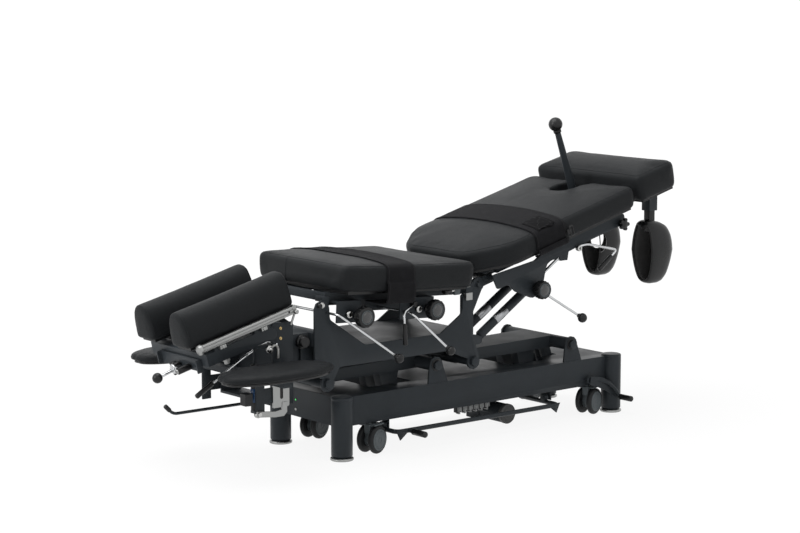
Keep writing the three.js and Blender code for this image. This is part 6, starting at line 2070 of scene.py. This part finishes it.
class MiddleSection:
    """The thoracic and lumbar cushions, their strap, knobs and levers."""

    form = CushionForm(((-205, -232), (-58, -262), (322, -262), (322, 262), (-58, 262), (-205, 232)),
                       (30, 160, 36, 36, 160, 30), 0, 84, 11.2, 8)
    split = 6.0
    hinge_x = 12.0
    hinges = {"thoracic": (60, 80), "lumbar": (85, 105)}
    boards = {"thoracic": (-180, -6.0), "lumbar": (6.0, 300)}
    seam_fans = {"thoracic": (-100.0, (-69, -291, 160)), "lumbar": (160.0, (-117, 117, 160))}
    strap_ends = ((266, 26), (265, -20), (258, -36), (240, -38.5), (150, -38.5))

    def half_form(self, sign: int) -> Shape:
        """Returns the form on one side of the split, closed again.

        Args:
            sign: The side, -1 or 1.

        Returns:
            The form.
        """
        shape = self.form.shape()
        geometry = shape.bm.verts[:] + shape.bm.edges[:] + shape.bm.faces[:]
        place = (sign * (self.split + self.form.shrink), 0, 0)
        cut = bmesh.ops.bisect_plane(shape.bm, geom=geometry, plane_co=place, plane_no=(-sign, 0, 0), clear_outer=True)
        rim = [item for item in cut["geom_cut"] if isinstance(item, bmesh.types.BMEdge)]
        bmesh.ops.contextual_create(shape.bm, geom=rim)
        bmesh.ops.recalc_face_normals(shape.bm, faces=shape.bm.faces)
        return shape

    def cushions(self) -> list[Object]:
        """Makes the two cushions and their boards, and returns the cushions.

        Returns:
            The two cushions.
        """
        made = []
        for name, sign in (("thoracic", -1), ("lumbar", 1)):
            bench = Bench(f"{name}_section", MIDDLE_SEAT)
            made.append(bench.upholster(f"{name}_cover", self.half_form(sign), f"{name}_cushion", 6, 0.8))
            board = Shape().block(self.boards[name], (-225, 225), (-8, 3))
            low, high = self.hinges[name]
            for span in ((-high, -low), (low, high)):
                board.block((sign * self.hinge_x - 8, sign * self.hinge_x + 8), span, (-23, -8.3))
            bench.fit(f"{name}_board", board, Finish.BLACK_PLASTIC, edge=0.6)
        return made

    def seams(self, pads: Sequence[Object]) -> None:
        """Sews the seams that run round the covers, and the upright one on the head-end face.

        Args:
            pads: The two cushions.
        """
        height = self.form.top - 4
        for pad, (name, (centre, sweep)) in zip(pads, self.seam_fans.items()):
            bench = Bench(f"{name}_section", MIDDLE_SEAT)
            bench.seam_round(f"{name}_section_seam", pad, (centre, 0, height), 520, sweep)
        levels = [4 + (height - 4) * k / 20 for k in range(21)]
        starts, aims = ([(x, 75, z) for z in levels] for x in (-300, 0))
        Bench("thoracic_section", MIDDLE_SEAT).seam("thoracic_face_seam", pads[0], starts, aims, 0.8)

    def strap(self, pads: Sequence[Object]) -> None:
        """Lays the strap over a spare copy of both cushions as one object, and sews its edges.

        Args:
            pads: The two cushions.
        """
        bm = bmesh.new()
        for pad in pads:
            bm.from_mesh(pad.data)
        spare = bpy.data.meshes.new("both_covers")
        bm.to_mesh(spare)
        both = new_object("both_covers", spare)
        strap = Strap("middle_strap_webbing", Bench("upper_frame", MIDDLE_SEAT), (-57, 58), self.strap_ends, 26.0)
        strap.lay(both, "middle_strap")
        bpy.data.objects.remove(both)
        strap.stitches("middle_strap_stitches", (6, 145))

    def controls(self) -> None:
        """Makes the tension knobs, the cocking levers and the lumbar release."""
        knob("thoracic_tension_knob", "thoracic_knob", -549, 457)
        knob("lumbar_tension_knob", "lumbar_knob", -263, 450)
        path = [(-650, 120, 473), (-650, -226, 473), (-442, -265, 320)]
        ball_lever("thoracic_cocking_lever", "thoracic_lever", path, 15)
        path = [(-359, 192, 449), (-359, -226, 449), (-250, -287, 325)]
        ball_lever("lumbar_cocking_lever", "lumbar_lever", path, 15)
        path = [(-326, -200, 472), (-378, -210, 452), (-388, -230, 349)]
        grip_lever("lumbar_release", "lumbar_release_lever", path, 0.35)
        boss = Shape().turned(hollow(4.6, 9, 0, 19.6, 1), (-326, -206, 472), count=32)
        Bench("lumbar_release_lever").fit("lumbar_release_boss", boss, Finish.BLACK_PLASTIC)

    def build(self) -> None:
        """Makes the middle section's pieces."""
        pads = self.cushions()
        self.seams(pads)
        bench = Bench("upper_frame", MIDDLE_SEAT)
        bench.fit("latch_box_head", Shape().block((-104, -28), (-52, 52), (-38, -10)), Finish.FRAME_PAINT, edge=2)
        latch = Shape().block((28, 146), (-52, 52), (-50, -10)).block((28, 286), (-52, 52), (-88, -50))
        bench.fit("latch_box_foot", latch, Finish.FRAME_PAINT, edge=2)
        dressed("middle_frame", 0.8)
        self.strap(pads)
        self.controls()


class PelvicSection:
    """The pelvic cushion with its notch, its frame, strap, handle and struts."""

    form = CushionForm(((-46, -150), (90, -262), (677, -262), (677, 262), (90, 262), (-46, 150)),
                       (120, 150, 34, 34, 150, 120), 48, 121, 18, 7)
    notch = ((534, -44), (637, -44), (720, -80), (720, 80), (637, 44), (534, 44))
    notch_radii = (42, 60, 0, 0, 60, 42)
    board = ((-20, -140), (95, -240), (655, -240), (655, -60), (540, -60),
             (540, 60), (655, 60), (655, 240), (95, 240), (-20, 140))
    board_radii = (100, 100, 10, 10, 30, 30, 10, 10, 100, 100)
    strap_ends = ((264, 60), (263, 44), (256, 37), (239, 35.5))
    wing = (585, 656)
    knob_place = (199, 469)
    strut_low, strut_high = (-15, 316), (364, 557)
    strut_y = {"near": -138.0, "far": -52.0}
    handle_foot, handle_top = (576, 0, 690), (467, 0, 989)

    def __init__(self) -> None:
        """Sets the benches."""
        self.drop = Bench("pelvic_drop", PELVIC_SEAT)
        self.section = Bench("pelvic_section", PELVIC_SEAT)

    def cushion(self) -> Object:
        """Makes the cushion, cut round the handle, and what is under it, and returns the cushion.

        Returns:
            The cushion.
        """
        notch = Shape().plate(arc_corners(self.notch, self.notch_radii, 8), (20, 200), "z")
        form, padding = self.form.shape(), Padding(voxel=7.0)
        pad = self.drop.upholster("pelvic_cover", form, "pelvic_cushion", 54, 0.8, padding, notch)
        board = Shape().plate(arc_corners(self.board, self.board_radii, 12), (40.4, 51), "z")
        for span in ((-134, -104), (104, 134)):
            board.block((611, 629), span, (22, 41))
        self.drop.fit("pelvic_board", board, Finish.BLACK_PLASTIC, edge=0.6)
        ribs = Shape().block((70, 600), (-178, -160), (16, 42)).mirrored()
        self.drop.fit("pelvic_board_ribs", ribs, Finish.FRAME_PAINT, edge=1.5)
        self.section.fit("stop_rod", Shape().bar((236, -206, 33), (318, -206, 33), 3.4, 24), Finish.ZINC)
        disc = [(0, -1), (6, -1), (9, 0.5), (9.6, 2), (9.6, 7), (0, 7)]
        self.section.fit("stop_disc", Shape().turned(disc, (232, -209, 33), count=36), Finish.BLACK_PLASTIC)
        return pad

    def strap_and_seam(self, pad: Object) -> None:
        """Lays the strap with its stitches and patch, dresses the frame, and sews the cover's seam.

        Args:
            pad: The cushion.
        """
        strap = Strap("pelvic_strap_webbing", self.drop, (190, 330), self.strap_ends)
        strap.lay(pad, "pelvic_strap")
        strap.stitches("pelvic_strap_stitches", (4, 147))
        strap.patch("pelvic_strap_patch", (3, 12), (102, 114))
        dressed("pelvic_frame", 0.8)
        self.drop.seam_round("pelvic_seam", pad, (300, 0, self.form.top - 3), 700, (-13, -347, 260))

    def struts(self) -> None:
        """Makes the two gas struts."""
        tube_profile = [(6, 13), (9, 13.5), (15, 22), (15, 280), (14.2, 282), (14.2, 284.5), (12.5, 285), (0, 285)]
        band_profile = [(15.05, 98), (15.35, 98.2), (15.35, 155.8), (15.05, 156)]
        rod_profile = [(5, 219), (5, 435), (8, 436), (8, 441), (0, 441)]
        for name, y in self.strut_y.items():
            low, high = (Vector((x, y, z)) for x, z in (self.strut_low, self.strut_high))
            way = high - low
            tube, rod = Bench(f"strut_tube_{name}"), Bench(f"strut_rod_{name}")
            cylinder = Shape().turned(tube_profile, low, way).turned(hollow(6.6, 15, -8, 8, 1), low, count=40)
            tube.fit(f"strut_cylinder_{name}", cylinder, Finish.FRAME_PAINT, tube.body)
            tube.fit(f"strut_band_{name}", Shape().turned(band_profile, low, way), Finish.SILVER_BAND)
            piston = Shape().turned(rod_profile, low, way, 32).turned(hollow(8.7, 15, -8, 8, 1), high, count=40)
            rod.fit(f"strut_piston_{name}", piston, Finish.CHROME, rod.body)

    def handle(self) -> None:
        """Makes the flexion handle with its ball."""
        foot, top = Vector(self.handle_foot), Vector(self.handle_top)
        way = top - foot
        bench = Bench("pelvic_section")
        stem = [(15, 0), (15, 20), (14.6, 60), (10.2, 290), (10.2, 296)]
        bench.fit("flexion_handle_stem", Shape().turned(stem, foot, way, 40), Finish.FRAME_PAINT, "flexion_handle")
        socket = [(22, 20.3), (22, 33), (20.5, 35.5), (16, 36.3), (0, 36.3)]
        self.section.fit("flexion_handle_socket", Shape().turned(socket, (624, 0, 0), UP), Finish.FRAME_PAINT)
        neck = top - way.normalized() * 30
        ball = Shape().ball(top, 24, 48).turned([(13.5, 0), (13.5, 8), (11, 10)], neck, top - neck, 40)
        bench.fit("flexion_handle_ball", ball, Finish.BLACK_PLASTIC)

    def controls(self) -> None:
        """Makes the tension knob, the cocking lever with its hub, and the release."""
        x, z = self.knob_place
        knob("pelvic_tension_knob", "pelvic_knob", x, z, 29, -242, -211.8, -211.8)
        path = [(209, -206, 459), (239, -206, 447), (351, -262, 364)]
        ball_lever("pelvic_cocking_lever", "pelvic_lever", path, 16, 12)
        hub = Shape().turned(hollow(6.2, 20, 0, 11, 2), (x, -211.5, z))
        Bench("pelvic_lever").fit("pelvic_lever_hub", hub, Finish.BLACK_PLASTIC)
        path = [(384, -209, 598), (420, -212, 602), (556, -214, 571), (472, -214, 509)]
        grip_lever("pelvic_release", "pelvic_release_lever", path, 0.3)
        boss = Shape().turned(hollow(5.4, 10, 0, 13.4, 1), (384, -214, 590), count=32)
        Bench("pelvic_release_lever").fit("pelvic_release_boss", boss, Finish.ZINC)

    def wing_knob(self) -> None:
        """Makes the lobed clamp knob at the foot end of the frame."""
        bench, (x, z) = Bench("wing_knob"), self.wing
        hub = [(5.4, 25), (9, 25), (10, 24), (10, 14), (14, 13), (14, 2), (12, 0), (0, -0.6)]
        bench.fit("wing_knob_hub", Shape().turned(hub, (x, -226, z), count=40), Finish.BLACK_PLASTIC, "wing_knob")
        lobe = Shape().turned([(3, -6.5), (5.6, -6), (6.6, -4.5), (6.6, 4.5), (5.6, 6), (3, 6.5)], (0, 0, 0), UP, 18)
        bench.repeat("wing_knob_lobes", REPEATS.round_axis, [[(x, -219, z)]], lobe, Finish.BLACK_PLASTIC,
                     Count=5, Radius=15.5 * MM, Turn=FACING_SIDEWAYS)

    def buckle(self) -> None:
        """Makes the ring that the strap's end is drawn through, and its tab."""
        path = [(338, -266, 60), (338, -266, 92), (352, -266, 92), (352, -266, 60), (338, -266, 60)]
        self.drop.fit("strap_ring", Shape().rod(path, 2.2, 5, 12), Finish.BLACK_PLASTIC)
        tab = Shape().block((326, 345), (-266.5, -262.5), (68, 84))
        self.drop.fit("strap_ring_tab", tab, Finish.BLACK_PLASTIC, edge=1.2)

    def build(self) -> None:
        """Makes the pelvic section's pieces."""
        self.strap_and_seam(self.cushion())
        self.struts()
        self.handle()
        self.controls()
        self.wing_knob()
        self.buckle()


class FootSection:
    """The sliding foot section with its cushion and ankle cups."""

    form = CushionForm(((688, -262), (884, -262), (884, 262), (688, 262)), (24, 40, 40, 24), 52, 146, 12, 6)
    cup_centre = (812.0, 128.0, 541.0)
    cup_radii = (76.0, 56.0, 119.0)
    cup_wall = 7.0
    mouth = 115.7
    shares = (0.02, 0.08, 0.16, 0.26, 0.38, 0.5, 0.62, 0.73, 0.83, 0.91, 0.96, 1.0)
    post_x, post_half = 800.0, 14

    def cup_ring(self, sign: int, share: float, grow: float, rise: float = 0.0) -> list[tuple[float, float, float]]:
        """Returns one ring of a cup.

        Args:
            sign: The side of the table.
            share: How far towards the mouth, from 0 to 1.
            grow: How far outside the cup's oval.
            rise: Further travel past the mouth, in degrees.

        Returns:
            The ring's points, round the cup's axis.
        """
        (cx, cy, cz), (rx, ry, rz) = self.cup_centre, (radius + grow for radius in self.cup_radii)
        ring = []
        for t in (2 * math.pi * k / 72 for k in range(72)):
            tip = max(0.0, math.cos(t - math.radians(96))) ** 9
            turn = math.radians((self.mouth + 20 * tip) * share + rise)
            across, up = signed_power(math.cos(t), 0.7), signed_power(math.sin(t), 0.8)
            over, under = max(0.0, up), max(0.0, -up)
            deep, girth = signed_power(math.cos(turn), 0.62), abs(math.sin(turn)) ** 0.72
            wide = 1 - 0.2 * over * (1 - 0.5 * tip) - 0.22 * under
            lean = 1 - 0.27 * over * (deep + 1) / 2
            x, y, z = rx * deep * (1 - 0.16 * under), ry * girth * across * wide, rz * girth * up * lean
            ring.append((cx + x, sign * (cy - y), cz + z))
        return ring

    def cup_shell(self, sign: int, outer: float, inner: float, reach: float) -> Shape:
        """Returns a bowl between two ovals.

        Args:
            sign: The side of the table.
            outer: How far the outer skin stands off the cup's oval.
            inner: How far the inner skin does.
            reach: Share of the way to the mouth.

        Returns:
            The bowl, closed round its mouth.
        """
        middle, half = (outer + inner) / 2, (outer - inner) / 2
        rings = [self.cup_ring(sign, share * reach, outer) for share in self.shares]
        for a in (math.pi * k / 6 for k in range(1, 6)):
            rings.append(self.cup_ring(sign, reach, middle + half * math.cos(a), 1.6 * math.sin(a)))
        rings += [self.cup_ring(sign, share * reach, inner) for share in self.shares[::-1]]
        return Shape().rings(rings)

    def hole(self, grow: float) -> Shape:
        """Returns the far cup's oval hole, as a shape to cut out."""
        oval = Matrix.Translation((0, 0, 548)) @ Matrix.Diagonal((1, 1, 1.5, 1))
        return Shape().bar((750, 60, 0), (900, 242, 0), 24 + grow, 48).moved(oval)

    def skin(self, bench: Bench, sign: int, label: str, span: tuple[float, float, float], hole: float,
             finish: Finish, *nodes: str) -> None:
        """Makes a cup's shell or lining.

        Args:
            bench: The cup's bench.
            sign: The side of the table.
            label: What it is.
            span: Its outer and inner skins' distances from the oval, and its share of the way to the mouth.
            hole: How much wider than the hand hole its own hole is.
            finish: Its finish.
            nodes: The nodes that it stands for.
        """
        name = f"{bench.body}_{label}"
        obj = new_object(name, self.cup_shell(sign, *span).mesh(name))
        if sign > 0:
            cut_away(obj, self.hole(hole))
        ease_edges(obj, 0.8, 50)
        bench.settle(obj, finish, *nodes)

    def ankle_cup(self, name: str, sign: int) -> None:
        """Makes one ankle cup: its shell, lining, rim and post.

        Args:
            name: The cup's side, in names.
            sign: The side, -1 or 1.
        """
        bench = Bench(f"ankle_cup_{name}")
        self.skin(bench, sign, "shell", (0.0, -self.cup_wall, 1.0), 0.0, Finish.BLACK_PLASTIC, bench.body)
        self.skin(bench, sign, "lining", (-6.4, -9.4, 0.965), 1.2, Finish.FELT)
        rim = [Vector(point) for point in self.cup_ring(sign, 1.0, -self.cup_wall / 2, 1.8)]
        bench.fit(f"{bench.body}_rim", Shape().rings(tube_rings(rim + rim[:1], 2.0, 10)), Finish.BLACK_PLASTIC)
        x, y, r = self.post_x, sign * self.cup_centre[1], self.post_half
        square = arc_corners([(x - r, y - r), (x + r, y - r), (x + r, y + r), (x - r, y + r)], [3] * 4, 20)
        bench.fit(f"{bench.body}_post", Shape().plate(square, (606, 742), "z"), Finish.BLACK_PLASTIC, edge=0.6)

    def build(self) -> None:
        """Makes the foot section's pieces."""
        bench = Bench("foot_section", PELVIC_SEAT)
        pad = bench.upholster("foot_cover", self.form.shape(), "foot_cushion", 58, 0.85)
        bench.fit("foot_board", Shape().block((712, 862), (-238, 238), (44.2, 55)), Finish.BLACK_PLASTIC, edge=0.6)
        dressed("foot_carrier", 0.8)
        bench.seam_round("foot_seam", pad, (786, 0, self.form.top - 3), 500, (0, 360, 240))
        for name, sign in SIDES:
            self.ankle_cup(name, sign)


def main() -> None:
    """Builds the studio and every sub-assembly in order."""
    logging.basicConfig(level=logging.INFO, format="%(name)s: %(message)s")
    Studio().build()
    for part in (BaseUnit, CastorSet, LiftAndFrame, HeadEnd, HeadSection, MiddleSection, PelvicSection, FootSection):
        part().build()
        log.info("%s is done", part.__name__)


if __name__ == "__main__":
    main()
